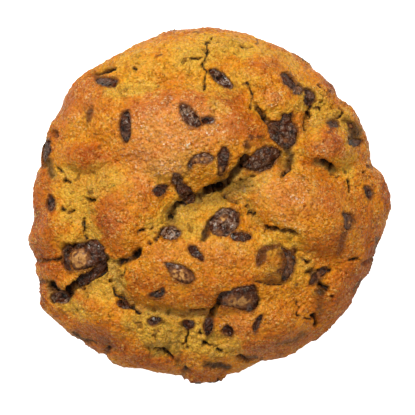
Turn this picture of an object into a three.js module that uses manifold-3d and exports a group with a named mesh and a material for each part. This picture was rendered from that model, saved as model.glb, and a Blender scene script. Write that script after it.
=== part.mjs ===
// A thick bakery cookie: one baked body of dough with chocolate chips set into its top, its rim and its base.
// Units are millimetres and +Z is up. The cookie lies flat, and the origin is on the table under its middle.
import * as THREE from "three";
import { mergeVertices } from "three/addons/utils/BufferGeometryUtils.js";
import Module from "manifold-3d";

// ---- Driving dimensions -------------------------------------------------------------------------------------
const COOKIE_WIDTH = 96; // along X, over the widest bulges of the rim
const COOKIE_DEPTH = 94; // along Y, over the widest bulges of the rim
const COOKIE_HEIGHT = 28; // from the table to the top of the highest knob
const WAIST_HEIGHT = 7.5; // where the side of the cookie is widest
const FOOT_INSET = 3; // how far the edge of the flat base lies inside the waist
const CHIP_LENGTH = 9; // a whole, unmelted chocolate chip
const CHIP_LEAST_DEPTH = 3.6; // the least thickness of a chip, most of it below the crust
const CHIP_GAP = 0.3; // clearance all round between a chip and its pocket, and between two chips
const BASE_CHIP_RECESS = 0.1; // how far the melted face of a base chip stays above the table

// ---- The layout: the cookie as it was drawn, before it is scaled to the driving dimensions --------------------
const LAYOUT_HEIGHT = 27.5;
const LAYOUT_CHIP = 9;
const LAYOUT_RADIUS = 45;

// Bulges and notches of the rim: [direction in degrees, half-width in degrees, height].
const RIM_BULGES = [
  [2, 9, 2.6],
  [15.5, 3, -1.3],
  [33, 6, 0.7],
  [40, 2.5, -1.2],
  [98, 30, 2.1],
  [137, 11, 2.9],
  [155, 6, 1.2],
  [176, 20, 1.5],
  [191, 4, 2.0],
  [200, 6, 1.0],
  [211, 4, 2.0],
  [218, 19, 5.6],
  [241, 7, 2.4],
  [254, 10, 1.2],
  [268, 5, 2.0],
  [289, 6, -1.4],
  [322, 5, 0.6],
  [348, 10, 0.5],
];

// Knobs of dough that swelled in the oven, each a rounded cap over an ellipse:
// [x, y, half-length, half-width, turn in degrees, height of its top, drop from its top to its edge].
const KNOBS = [
  [-4, 17.5, 22, 12.6, -6, 27.4, 5.5], // the big knob at the top left of the middle
  [-20.5, -1.5, 10.5, 13.5, 15, 25.2, 5],
  [-2, -15, 22.5, 12.6, -3, 26, 5], // the plate below the middle
  [1, -2, 9, 6, 10, 24, 4],
  [23, -1, 16, 9.5, -30, 25.6, 5], // the plate to the right of the middle
  [30, 15, 6.6, 5.8, 0, 23.6, 4],
  [15, 30, 11.5, 8.5, -42, 22.8, 4.5],
  [14.5, 38, 6.5, 4.5, -20, 19.8, 3.5],
  [-9, 37, 17, 9, 4, 20.4, 4.5],
  [5, 40, 8, 6, -15, 19, 4],
  [-34, 25, 12, 7, 62, 18.6, 5],
  [-25, 24, 8, 9, 10, 22, 4],
  [-31, 12.5, 7.5, 4.6, -8, 22, 4],
  [-41, -6.5, 8, 7.5, 0, 18.6, 4.5],
  [-44.5, 3.5, 4, 8.5, 4, 13.5, 3],
  [-34.6, -14.7, 3.4, 3.2, 0, 18.8, 3],
  [-40.5, -18, 5.8, 4.2, -42, 16.6, 4],
  [-26.5, -29, 11, 6.6, -26, 20.2, 4.5],
  [-38, -28, 7, 5.5, -40, 13.5, 4],
  [-22, -37.5, 6.5, 4.4, -30, 14.6, 4],
  [-14, -34, 5, 4.8, 0, 18.6, 4],
  [-13, -41, 6.5, 3, 8, 10.4, 3],
  [-3, -37, 6.5, 5.5, 0, 16, 4],
  [13, -31, 12.5, 9, 8, 21.6, 5],
  [37, -8, 9, 17, 8, 18.6, 6],
  [31, -23, 9, 7, 40, 18.8, 5],
  [43.5, 3.5, 4.6, 7, 0, 14.2, 4],
  [37, 20, 4.6, 6.5, 10, 15.6, 4],
  [28, 31, 9, 5, -42, 17, 4],
];

// Furrows where two knobs meet: half-width, depth, then the points that the furrow runs through.
const FURROWS = [
  { halfWidth: 2.2, depth: 4.5, points: [[-10, -1.5], [-6.5, 1.6], [-1.5, 3.8], [3, 5.6], [7, 8.6], [9.5, 12]] },
  { halfWidth: 2.2, depth: 2.5, points: [[-22, -24.5], [-14, -27.4], [-6, -28.6], [0.5, -28]] },
  { halfWidth: 2.2, depth: 2.2, points: [[-41, -24], [-37, -23], [-33.5, -18.6], [-27.5, -16]] },
  { halfWidth: 2, depth: 2, points: [[10, -1], [14, -5], [22.5, -7]] },
  { halfWidth: 2, depth: 2, points: [[27, 10.2], [32, 9.4]] },
];

// The plain dome that fills in between the knobs, and how steeply everything falls to the waist near the rim.
const DOME_TOP = 21.5;
const DOME_DROP = 8;
const DOME_POWER = 3;
const SHOULDER_POWER = 10;
const KNOB_BLEND = 1.1; // per millimetre: the higher, the sharper the crease between two knobs
const KNOB_FULLNESS = 1.3; // above 1, a knob is flatter on top and steeper at its edge than a parabola

// Chips that show through the crust: [x, y, length, width, turn in degrees].
const TOP_CHIPS = [
  [-27.4, 32.9, 6.6, 3.0, -8],
  [-22.2, 20.6, 8.6, 3.0, 86],
  [-5.4, 23.0, 6.6, 3.6, -38],
  [0.2, 22.2, 3.6, 2.2, 12],
  [2.6, 33.2, 8.2, 3.4, -38],
  [20.6, 32.8, 5.2, 3.8, -58],
  [23.8, 29.6, 3.2, 3.0, -40],
  [26.6, 27.4, 4.4, 3.2, -64],
  [19.4, 19.6, 8.4, 6.8, -56],
  [13.0, 12.1, 9.8, 6.0, 14],
  [3.7, 11.8, 7.2, 3.0, 82],
  [-2.8, 11.9, 5.8, 2.8, 6],
  [-9.0, 7.8, 4.2, 3.4, 66],
  [-6.6, 3.4, 5.4, 3.0, -34],
  [-13.6, 3.6, 3.6, 2.8, 22],
  [3.8, -3.6, 8.0, 7.2, 28],
  [8.9, -8.4, 4.8, 2.6, -8],
  [-10.4, -6.8, 6.2, 3.4, 28],
  [-4.0, -12.4, 5.8, 3.2, -48],
  [-8.8, -17.4, 7.6, 4.0, -20],
  [20.0, -16.0, 7.4, 4.4, -66],
  [8.6, -23.4, 9.6, 5.0, 4],
  [12.4, -30.8, 4.8, 2.0, 68],
  [4.8, -33.0, 3.4, 3.2, 0],
  [0.0, -31.4, 5.6, 2.6, 90],
  [-5.8, -31.0, 3.4, 3.0, 0],
  [-14.6, -30.4, 3.8, 2.6, 5],
  [-22.8, -25.8, 3.8, 2.4, -20],
  [-13.8, -23.3, 4.0, 2.2, 18],
  [-30.4, -12.2, 8.8, 5.8, -34],
  [-38.4, -13.0, 5.8, 2.4, 74],
  [-34.0, -19.4, 7.4, 2.6, 32],
  [-40.0, -23.8, 4.8, 2.6, -14],
  [-41.6, 0.2, 4.2, 2.8, 100],
  [36.2, -3.2, 6.2, 3.0, -68],
  [41.6, 3.6, 4.0, 2.6, -72],
  [38.2, 17.0, 4.4, 3.2, -16],
  [36.9, 21.2, 3.6, 2.8, -40],
  [32.0, 21.7, 3.2, 2.6, -15],
  [28.6, -18.0, 5.8, 3.0, 42],
];
const TOP_CHIP_PROUD = 0.5; // how far the top of such a chip stands above the crust around it

// Chips that show in the side of the cookie: [direction in degrees, height of the middle, length, width].
const RIM_CHIPS = [
  [161.5, 10.5, 6.0, 4.0],
  [268.5, 6.4, 7.4, 4.4],
  [58, 5.2, 6.4, 4.4],
  [104, 4.6, 5.6, 3.8],
  [206, 5.0, 6.8, 4.2],
  [231, 4.4, 5.4, 3.8],
  [312, 5.2, 6.6, 4.4],
  [338, 4.6, 5.8, 4.0],
];
const RIM_CHIP_PROUD = 0.2;

// Chips that melted flat against the baking tray: [x, y, length, width, turn in degrees].
const BASE_CHIPS = [
  [-22, 14, 8.6, 6.8, 30],
  [8, 27, 7.4, 6.0, -20],
  [26, 3, 8.2, 6.2, 75],
  [-6, -9, 6.6, 5.4, 10],
  [13, -24, 8.8, 6.6, -35],
  [-27, -19, 7.0, 6.2, 50],
];

// ---- Grid sizes -------------------------------------------------------------------------------------------------
const TOP_CELLS = 46; // cells along each side of the grid that covers the top and the side
const WAIST_AT = 0.86; // the share of that grid, from its middle, that lies above the waist
const CHIP_SIDES = 9;
const OUTLINE_STEPS = 720;

// ---- Shape functions --------------------------------------------------------------------------------------------
const degrees = Math.PI / 180;

// The rim in the layout: a circle with a bell-shaped bulge or notch at each entry of RIM_BULGES.
function layoutRadius(angle) {
  let radius = LAYOUT_RADIUS;
  for (const [direction, halfWidth, height] of RIM_BULGES) {
    const away = Math.atan2(Math.sin(angle - direction * degrees), Math.cos(angle - direction * degrees));
    radius += height * Math.exp(-((away / (halfWidth * degrees)) ** 2));
  }
  return radius;
}

// The box of the layout's rim, which gives the scale and shift from the layout to the driving dimensions.
function layoutBox() {
  const box = new THREE.Box2();
  for (let i = 0; i < OUTLINE_STEPS; i++) {
    const angle = (2 * Math.PI * i) / OUTLINE_STEPS;
    const radius = layoutRadius(angle);
    box.expandByPoint(new THREE.Vector2(radius * Math.cos(angle), radius * Math.sin(angle)));
  }
  return box;
}

const rimBox = layoutBox();
const rimMiddle = rimBox.getCenter(new THREE.Vector2());
const rimSize = rimBox.getSize(new THREE.Vector2());
const scaleX = COOKIE_WIDTH / rimSize.x;
const scaleY = COOKIE_DEPTH / rimSize.y;
const rise = COOKIE_HEIGHT / LAYOUT_HEIGHT;
const chipScale = CHIP_LENGTH / LAYOUT_CHIP;
const toCookie = (x, y) => [(x - rimMiddle.x) * scaleX, (y - rimMiddle.y) * scaleY];

// How far (x, y) of the layout is from the middle of an ellipse, as a share squared of the ellipse's own radius.
function ellipseShare(x, y, [centreX, centreY, halfLength, halfWidth, turn]) {
  const cos = Math.cos(turn * degrees);
  const sin = Math.sin(turn * degrees);
  const along = (x - centreX) * cos + (y - centreY) * sin;
  const across = (y - centreY) * cos - (x - centreX) * sin;
  return (along / halfLength) ** 2 + (across / halfWidth) ** 2;
}

// The height of one knob, which goes on falling outside its edge, where other knobs take over.
function knobHeight(x, y, knob) {
  const [top, drop] = knob.slice(5);
  return top - drop * ellipseShare(x, y, knob) ** KNOB_FULLNESS;
}

function distanceToPath(x, y, points) {
  let nearest = Infinity;
  for (let i = 1; i < points.length; i++) {
    const [ax, ay] = points[i - 1];
    const [bx, by] = points[i];
    const span = (bx - ax) ** 2 + (by - ay) ** 2;
    const along = THREE.MathUtils.clamp(((x - ax) * (bx - ax) + (y - ay) * (by - ay)) / span, 0, 1);
    nearest = Math.min(nearest, Math.hypot(x - ax - along * (bx - ax), y - ay - along * (by - ay)));
  }
  return nearest;
}

// The crust's height above the table at (x, y) of the layout. The knobs and the dome are joined by a smooth
// maximum, the furrows are bell-shaped grooves in it, and all of it falls to the waist at the rim.
function crustHeight(x, y) {
  const share = Math.min(1, Math.hypot(x, y) / layoutRadius(Math.atan2(y, x)));
  const dome = DOME_TOP - DOME_DROP * share ** DOME_POWER;
  let sum = Math.exp(KNOB_BLEND * (dome - LAYOUT_HEIGHT));
  for (const knob of KNOBS) sum += Math.exp(KNOB_BLEND * (knobHeight(x, y, knob) - LAYOUT_HEIGHT));
  let height = LAYOUT_HEIGHT + Math.log(sum) / KNOB_BLEND;
  for (const furrow of FURROWS) {
    const away = distanceToPath(x, y, furrow.points);
    height -= furrow.depth * Math.exp(-((away / furrow.halfWidth) ** 2));
  }
  const waist = WAIST_HEIGHT / rise;
  return rise * (waist + (height - waist) * Math.sqrt(1 - share ** SHOULDER_POWER));
}

// The grid's share of the rim's radius. It starts evenly and closes up towards the steep shoulder.
const radiusShare = (step) => 1.15 * step - 0.15 * step ** 6;

// A point of the top and side from grid coordinates of -1 to 1. The square is bent into a disc. Its inner part is
// the crust, and its outer part is the side below the waist, which is a quarter of an ellipse down to the foot.
function shellPoint(u, v) {
  const p = u * Math.sqrt(1 - (v * v) / 2);
  const q = v * Math.sqrt(1 - (u * u) / 2);
  const step = Math.hypot(p, q);
  const angle = Math.atan2(q, p);
  const rim = layoutRadius(angle);
  if (step <= WAIST_AT) {
    const radius = rim * radiusShare(step / WAIST_AT);
    const x = radius * Math.cos(angle);
    const y = radius * Math.sin(angle);
    return [...toCookie(x, y), crustHeight(x, y)];
  }
  const fall = (Math.min(1, (step - WAIST_AT) / (1 - WAIST_AT)) * Math.PI) / 2;
  const [rimX, rimY] = toCookie(rim * Math.cos(angle), rim * Math.sin(angle));
  const inset = 1 - (FOOT_INSET * (1 - Math.cos(fall))) / Math.hypot(rimX, rimY);
  return [rimX * inset, rimY * inset, WAIST_HEIGHT * (1 - Math.sin(fall))];
}

// ---- The dough --------------------------------------------------------------------------------------------------
// A closed shell: the bent grid on top, each cell split along its shorter diagonal, and a flat base inside its edge.
function doughGeometry() {
  const side = TOP_CELLS + 1;
  const positions = [];
  for (let j = 0; j < side; j++) {
    for (let i = 0; i < side; i++) {
      positions.push(...shellPoint((2 * i) / TOP_CELLS - 1, (2 * j) / TOP_CELLS - 1));
    }
  }
  const corner = (index) => new THREE.Vector3().fromArray(positions, 3 * index);
  const faces = [];
  for (let j = 0; j < TOP_CELLS; j++) {
    for (let i = 0; i < TOP_CELLS; i++) {
      const [a, b, c, d] = [j * side + i, j * side + i + 1, (j + 1) * side + i + 1, (j + 1) * side + i];
      const alongAC = corner(a).distanceTo(corner(c)) < corner(b).distanceTo(corner(d));
      if (alongAC) faces.push(a, b, c, a, c, d);
      else faces.push(a, b, d, b, c, d);
    }
  }
  const foot = [];
  for (let i = 0; i < TOP_CELLS; i++) foot.push(i);
  for (let j = 0; j < TOP_CELLS; j++) foot.push(j * side + TOP_CELLS);
  for (let i = TOP_CELLS; i > 0; i--) foot.push(TOP_CELLS * side + i);
  for (let j = TOP_CELLS; j > 0; j--) foot.push(j * side);
  for (const index of foot) positions[3 * index + 2] = 0;
  const outline = foot.map((index) => new THREE.Vector2(positions[3 * index], positions[3 * index + 1]));
  for (const [a, b, c] of THREE.ShapeUtils.triangulateShape(outline, [])) faces.push(foot[c], foot[b], foot[a]);
  const geometry = new THREE.BufferGeometry();
  geometry.setAttribute("position", new THREE.Float32BufferAttribute(positions, 3));
  geometry.setIndex(faces);
  return geometry;
}

// ---- The chips --------------------------------------------------------------------------------------------------
// A softened chip of radius 1: a drop that is broad and blunt on top and rounder below, from z = -1 to z = 1.
const CHIP_PROFILE = [
  [0, -1],
  [0.66, -0.8],
  [0.97, -0.2],
  [1, 0.4],
  [0.84, 0.82],
  [0, 1],
].map(([radius, height]) => new THREE.Vector2(radius, height));

// A chip of the given size, grown by `margin` all round. Its own X runs along it and its Z points out of the crust.
function chipGeometry(length, width, depth, margin) {
  const geometry = new THREE.LatheGeometry(CHIP_PROFILE, CHIP_SIDES);
  geometry.rotateX(Math.PI / 2);
  geometry.scale(length / 2 + margin, width / 2 + margin, depth / 2 + margin);
  return geometry;
}

const chipDepth = (width) => Math.max(CHIP_LEAST_DEPTH, 0.75 * width * chipScale);

// The crust's outward normal at (x, y) of the layout, from its slope over a short step.
function crustNormal(x, y) {
  const reach = 1.5;
  const [x0] = toCookie(x - reach, y);
  const [x1] = toCookie(x + reach, y);
  const [, y0] = toCookie(x, y - reach);
  const [, y1] = toCookie(x, y + reach);
  const slopeX = (crustHeight(x + reach, y) - crustHeight(x - reach, y)) / (x1 - x0);
  const slopeY = (crustHeight(x, y + reach) - crustHeight(x, y - reach)) / (y1 - y0);
  return new THREE.Vector3(-slopeX, -slopeY, 1).normalize();
}

// A matrix that carries a chip's own axes to its place: Z to `out` and X as near as it can be to `along`.
function placement(position, out, along) {
  const across = new THREE.Vector3().crossVectors(out, along).normalize();
  const straight = new THREE.Vector3().crossVectors(across, out);
  return new THREE.Matrix4().makeBasis(straight, across, out).setPosition(position);
}

function topChip([x, y, length, width, turn]) {
  const depth = chipDepth(width);
  const out = crustNormal(x, y);
  const [cookieX, cookieY] = toCookie(x, y);
  const position = new THREE.Vector3(cookieX, cookieY, crustHeight(x, y));
  position.addScaledVector(out, TOP_CHIP_PROUD - depth / 2);
  const along = new THREE.Vector3(Math.cos(turn * degrees), Math.sin(turn * degrees), 0);
  return { length: length * chipScale, width: width * chipScale, depth, matrix: placement(position, out, along) };
}

// The rim's point at a height: on the quarter ellipse below the waist, and on the shoulder curve above it.
function rimPoint(angle, height) {
  const rim = layoutRadius(angle);
  if (height <= WAIST_HEIGHT) {
    const [x, y] = toCookie(rim * Math.cos(angle), rim * Math.sin(angle));
    const fall = Math.asin(1 - height / WAIST_HEIGHT);
    const inset = 1 - (FOOT_INSET * (1 - Math.cos(fall))) / Math.hypot(x, y);
    return new THREE.Vector3(x * inset, y * inset, height);
  }
  let low = 0.8;
  let high = 1;
  for (let i = 0; i < 30; i++) {
    const middle = (low + high) / 2;
    if (crustHeight(middle * rim * Math.cos(angle), middle * rim * Math.sin(angle)) > height) low = middle;
    else high = middle;
  }
  const [x, y] = toCookie(low * rim * Math.cos(angle), low * rim * Math.sin(angle));
  return new THREE.Vector3(x, y, height);
}

function rimChip([direction, height, length, width]) {
  const angle = direction * degrees;
  const depth = chipDepth(width);
  const step = 2 * degrees;
  const along = rimPoint(angle + step, height * rise).sub(rimPoint(angle - step, height * rise)).normalize();
  const up = rimPoint(angle, height * rise + 1).sub(rimPoint(angle, height * rise - 1)).normalize();
  const out = new THREE.Vector3().crossVectors(along, up).normalize();
  const position = rimPoint(angle, height * rise).addScaledVector(out, RIM_CHIP_PROUD - depth / 2);
  return { length: length * chipScale, width: width * chipScale, depth, matrix: placement(position, out, along) };
}

function baseChip([x, y, length, width, turn]) {
  const depth = chipDepth(width);
  const [cookieX, cookieY] = toCookie(x, y);
  const position = new THREE.Vector3(cookieX, cookieY, BASE_CHIP_RECESS + depth / 4);
  const along = new THREE.Vector3(Math.cos(turn * degrees), Math.sin(turn * degrees), 0);
  const out = new THREE.Vector3(0, 0, -1);
  return { length: length * chipScale, width: width * chipScale, depth, matrix: placement(position, out, along) };
}

// ---- Solids -----------------------------------------------------------------------------------------------------
const wasm = await Module();
wasm.setup();

function toSolid(geometry) {
  const bare = geometry.clone();
  bare.deleteAttribute("normal");
  bare.deleteAttribute("uv");
  const merged = mergeVertices(bare, 1e-4);
  const mesh = new wasm.Mesh({
    numProp: 3,
    vertProperties: merged.attributes.position.array,
    triVerts: new Uint32Array(merged.index.array),
  });
  return new wasm.Manifold(mesh);
}

function toGeometry(solid) {
  const mesh = solid.getMesh();
  const geometry = new THREE.BufferGeometry();
  geometry.setAttribute("position", new THREE.BufferAttribute(mesh.vertProperties, mesh.numProp));
  geometry.setIndex(new THREE.BufferAttribute(mesh.triVerts, 1));
  geometry.computeVertexNormals();
  return geometry;
}

const chipSolid = (chip, margin) =>
  toSolid(chipGeometry(chip.length, chip.width, chip.depth, margin).applyMatrix4(chip.matrix));

// Everything below the table side of a base chip, which melted flat on the tray.
function tray() {
  const slab = new THREE.BoxGeometry(2 * COOKIE_WIDTH, 2 * COOKIE_DEPTH, COOKIE_HEIGHT);
  return toSolid(slab.translate(0, 0, BASE_CHIP_RECESS - COOKIE_HEIGHT / 2));
}

const doughMaterial = new THREE.MeshStandardMaterial({ color: 0xc97f2c, roughness: 0.7, metalness: 0 });
const chipMaterial = new THREE.MeshStandardMaterial({ color: 0x3a1f16, roughness: 0.35, metalness: 0 });

const twoDigits = (number) => String(number).padStart(2, "0");
const chips = [
  ...TOP_CHIPS.map((row, i) => ({ name: `top_chip_${twoDigits(i + 1)}`, ...topChip(row) })),
  ...RIM_CHIPS.map((row, i) => ({ name: `rim_chip_${twoDigits(i + 1)}`, ...rimChip(row) })),
  ...BASE_CHIPS.map((row, i) => ({ name: `base_chip_${twoDigits(i + 1)}`, flat: true, ...baseChip(row) })),
];

// The dough has a pocket for each chip, and where two chips meet, the later one is pressed in by the earlier one.
const cookie = new THREE.Group();
let dough = toSolid(doughGeometry());
const pockets = [];
for (const chip of chips) {
  let solid = chipSolid(chip, 0);
  if (chip.flat) solid = solid.subtract(tray());
  for (const earlier of pockets) solid = solid.subtract(earlier);
  const pocket = chipSolid(chip, CHIP_GAP);
  pockets.push(pocket);
  dough = dough.subtract(pocket);
  const mesh = new THREE.Mesh(toGeometry(solid), chipMaterial);
  mesh.name = chip.name;
  cookie.add(mesh);
}
const body = new THREE.Mesh(toGeometry(dough), doughMaterial);
body.name = "baked_dough";
cookie.add(body);

export default cookie;
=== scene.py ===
"""A thick bakery cookie: cracked golden dough with melted chocolate chips, lying flat on a pale floor."""
import math
from itertools import product

import bpy
import numpy as np
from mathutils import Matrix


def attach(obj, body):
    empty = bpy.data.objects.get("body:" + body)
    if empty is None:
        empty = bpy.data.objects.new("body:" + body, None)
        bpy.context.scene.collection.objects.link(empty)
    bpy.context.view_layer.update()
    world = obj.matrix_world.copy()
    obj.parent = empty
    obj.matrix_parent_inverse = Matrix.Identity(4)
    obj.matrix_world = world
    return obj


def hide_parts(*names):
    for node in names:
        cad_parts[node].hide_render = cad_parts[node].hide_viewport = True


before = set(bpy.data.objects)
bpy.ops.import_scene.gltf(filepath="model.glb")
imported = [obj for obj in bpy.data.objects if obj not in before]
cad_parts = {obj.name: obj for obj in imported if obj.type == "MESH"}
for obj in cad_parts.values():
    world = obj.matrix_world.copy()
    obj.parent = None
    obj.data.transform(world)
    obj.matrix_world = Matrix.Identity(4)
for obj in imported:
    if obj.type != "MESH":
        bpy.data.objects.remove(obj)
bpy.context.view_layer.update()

MM = 0.001

# ---- Sizes of the cookie, in millimetres ---------------------------------------------------------
COOKIE_WIDTH = 96.0
COOKIE_DEPTH = 94.0
COOKIE_HEIGHT = 28.0
WAIST_HEIGHT = 7.5
FOOT_INSET = 3.0
LAYOUT_HEIGHT = 27.5
LAYOUT_RADIUS = 45.0

# Bulges and notches of the rim: direction in degrees, half-width in degrees, height.
RIM_BULGES = [
    (2, 9, 2.6), (15.5, 3, -1.3), (33, 6, 0.7), (40, 2.5, -1.2), (98, 30, 2.1), (137, 11, 2.9),
    (155, 6, 1.2), (176, 20, 1.5), (191, 4, 2), (200, 6, 1), (211, 4, 2), (218, 19, 5.6), (241, 7, 2.4),
    (254, 10, 1.2), (268, 5, 2), (289, 6, -1.4), (322, 5, 0.6), (348, 10, 0.5),
]

# Knobs of dough: x, y, half-length, half-width, turn, height of the top, drop from the top to the edge.
KNOBS = [
    (-4, 17.5, 22, 12.6, -6, 27.4, 5.5), (-20.5, -1.5, 10.5, 13.5, 15, 25.2, 5),
    (-2, -15, 22.5, 12.6, -3, 26, 5), (1, -2, 9, 6, 10, 24, 4), (23, -1, 16, 9.5, -30, 25.6, 5),
    (30, 15, 6.6, 5.8, 0, 23.6, 4), (15, 30, 11.5, 8.5, -42, 22.8, 4.5),
    (14.5, 38, 6.5, 4.5, -20, 19.8, 3.5), (-9, 37, 17, 9, 4, 20.4, 4.5), (5, 40, 8, 6, -15, 19, 4),
    (-34, 25, 12, 7, 62, 18.6, 5), (-25, 24, 8, 9, 10, 22, 4), (-31, 12.5, 7.5, 4.6, -8, 22, 4),
    (-41, -6.5, 8, 7.5, 0, 18.6, 4.5), (-44.5, 3.5, 4, 8.5, 4, 13.5, 3),
    (-34.6, -14.7, 3.4, 3.2, 0, 18.8, 3), (-40.5, -18, 5.8, 4.2, -42, 16.6, 4),
    (-26.5, -29, 11, 6.6, -26, 20.2, 4.5), (-38, -28, 7, 5.5, -40, 13.5, 4),
    (-22, -37.5, 6.5, 4.4, -30, 14.6, 4), (-14, -34, 5, 4.8, 0, 18.6, 4), (-13, -41, 6.5, 3, 8, 10.4, 3),
    (-3, -37, 6.5, 5.5, 0, 16, 4), (13, -31, 12.5, 9, 8, 21.6, 5), (37, -8, 9, 17, 8, 18.6, 6),
    (31, -23, 9, 7, 40, 18.8, 5), (43.5, 3.5, 4.6, 7, 0, 14.2, 4), (37, 20, 4.6, 6.5, 10, 15.6, 4),
    (28, 31, 9, 5, -42, 17, 4),
]
DOME_TOP = 21.5
DOME_DROP = 8.0
DOME_POWER = 3
SHOULDER_POWER = 10
KNOB_BLEND = 1.6
KNOB_FULLNESS = 1.3
RIM_CROWDING = 0.15     # how much closer together the grid's points lie near the rim
FURROW_STRAY = 0.5      # how far the furrows stray from their paths, and over what distance
FURROW_STRAY_SIZE = 2.6

# Small swellings and dents of the crust: x, y, half-length, half-width, turn, height.
SWELLINGS = [
    (-17, 24, 9, 3.5, 24, 0.7), (2, 27.5, 6, 2.2, -20, 0.7), (7.5, 19, 4, 7, 18, 0.8),
    (-12, 9, 6, 4, 30, 0.5), (-14, 8, 5, 3, -10, 0.7), (-29, 19, 4, 3, 40, 0.6), (-38, 17, 3, 6, -15, 0.6),
    (-33, 4, 5, 3, 0, 0.7), (-26, 7, 3.5, 2.4, 30, 0.6), (17, -15, 4.6, 4.2, -20, 1),
    (8, -25.5, 4.4, 3, 5, 0.9), (-7, -18.5, 4.5, 2.6, -20, 0.5), (4.8, -33, 3.4, 3.2, 0, -0.8),
    (-0.5, -22, 5, 3, 10, 0.5), (-12, -24.5, 6, 2, -10, 0.6), (-21, -6, 4, 5, 0, 0.5),
    (16, 26.8, 3.2, 2.2, 0, 0.8), (9, 33, 4, 3, 40, 0.5), (-16, 36, 5, 3, 10, 0.4), (-4, 41, 4, 3, 0, 0.5),
    (21, 3, 6, 4, -30, 0.5), (14, 3, 4, 3, 20, 0.4), (30, -7, 4, 5, 20, 0.5), (38, 10, 4, 3, 60, 0.7),
    (35, 2, 3, 4, 0, 0.5), (-9.5, -3, 4, 2.4, 30, -0.8), (9, 6.5, 3.4, 1.8, 15, -0.9),
    (-30, -21, 3, 2.4, 30, 0.7), (-10.5, -36, 2, 2, 0, 0.7), (-2, -34, 2.6, 1.8, 0, 0.7),
    (2, -38.5, 4, 2.2, 0, 0.6), (30, 25.5, 4, 2.6, -30, -0.7), (25, 24.5, 1.6, 2.6, 0, -0.8),
    (20, -9.5, 5, 1.6, -18, -0.6), (12, -38, 7, 2.5, 14, 0.6), (24, -32, 5, 4, 35, 0.6),
    (38, -17, 3, 5, 10, 0.5), (-44, -11, 3, 4, 10, 0.5), (-27, -35, 4, 2, -30, 0.5),
    (-36, -9.6, 3, 1.4, 10, 0.6), (-24, 14, 3, 3, 0, 0.4), (0.5, 16, 3.4, 3, 0, 0.4),
]

# Furrows between the knobs: half-width, depth, points.
FURROWS = [
    (1.2, 2.2, [(-10, -3.5), (-9.4, -0.6), (-6.5, 1.2), (-3, 2), (-1, 3.4), (2, 4.6), (5, 6.4), (7.5, 9),
        (9, 12)]),
    (0.9, 1, [(2.5, 4.6), (5, 2.6), (8, 1.2), (10.3, 0.2), (10.4, -2), (12.4, -4.4), (15, -6.2), (19, -7),
        (22.5, -7.9)]),
    (1.4, 1.4, [(-25.5, -16), (-24.2, -20), (-21.4, -25.4), (-18, -27.4), (-12, -28.2), (-6, -28.8),
        (0.6, -28.6)]),
    (0.8, 1.2, [(0.6, -28.6), (1.8, -26.4), (3.2, -24)]),
    (1.2, 1.9, [(-42, -21), (-41, -25), (-37.5, -24.2), (-35.6, -21.4), (-32.6, -19), (-28.6, -17)]),
    (0.9, 1.2, [(12, 25.8), (13.6, 23.4), (15.6, 21.4), (18, 20.6)]),
    (1.1, 1.7, [(27.8, 10.9), (30.2, 10.5), (32.4, 9.2)]),
    (0.9, 0.8, [(-38.4, -10.6), (-35, -10.2), (-31.5, -7.6), (-30.4, -2)]),
    (1.2, 1.6, [(-43.5, 17.8), (-42.6, 12), (-41, 7.6)]),
    (1.2, 1, [(14, 16.4), (17.4, 14.2), (19.6, 10), (18.6, 8)]),
    (0.8, 1.2, [(-12.2, -31), (-10.4, -33.4), (-10.2, -36.2), (-12, -38.8), (-15.4, -40.2)]),
    (0.8, 1, [(-7, -32), (-8.4, -36), (-8.3, -42.6)]), (0.9, 0.7, [(22.6, 24), (25, 27.4), (25.2, 21)]),
    (1, 0.9, [(24, 18), (25.6, 21), (31, 22.4), (34.8, 25.6)]),
    (0.9, 0.7, [(11.6, -19.8), (15, -21.4), (19, -20.8)]),
]

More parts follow.
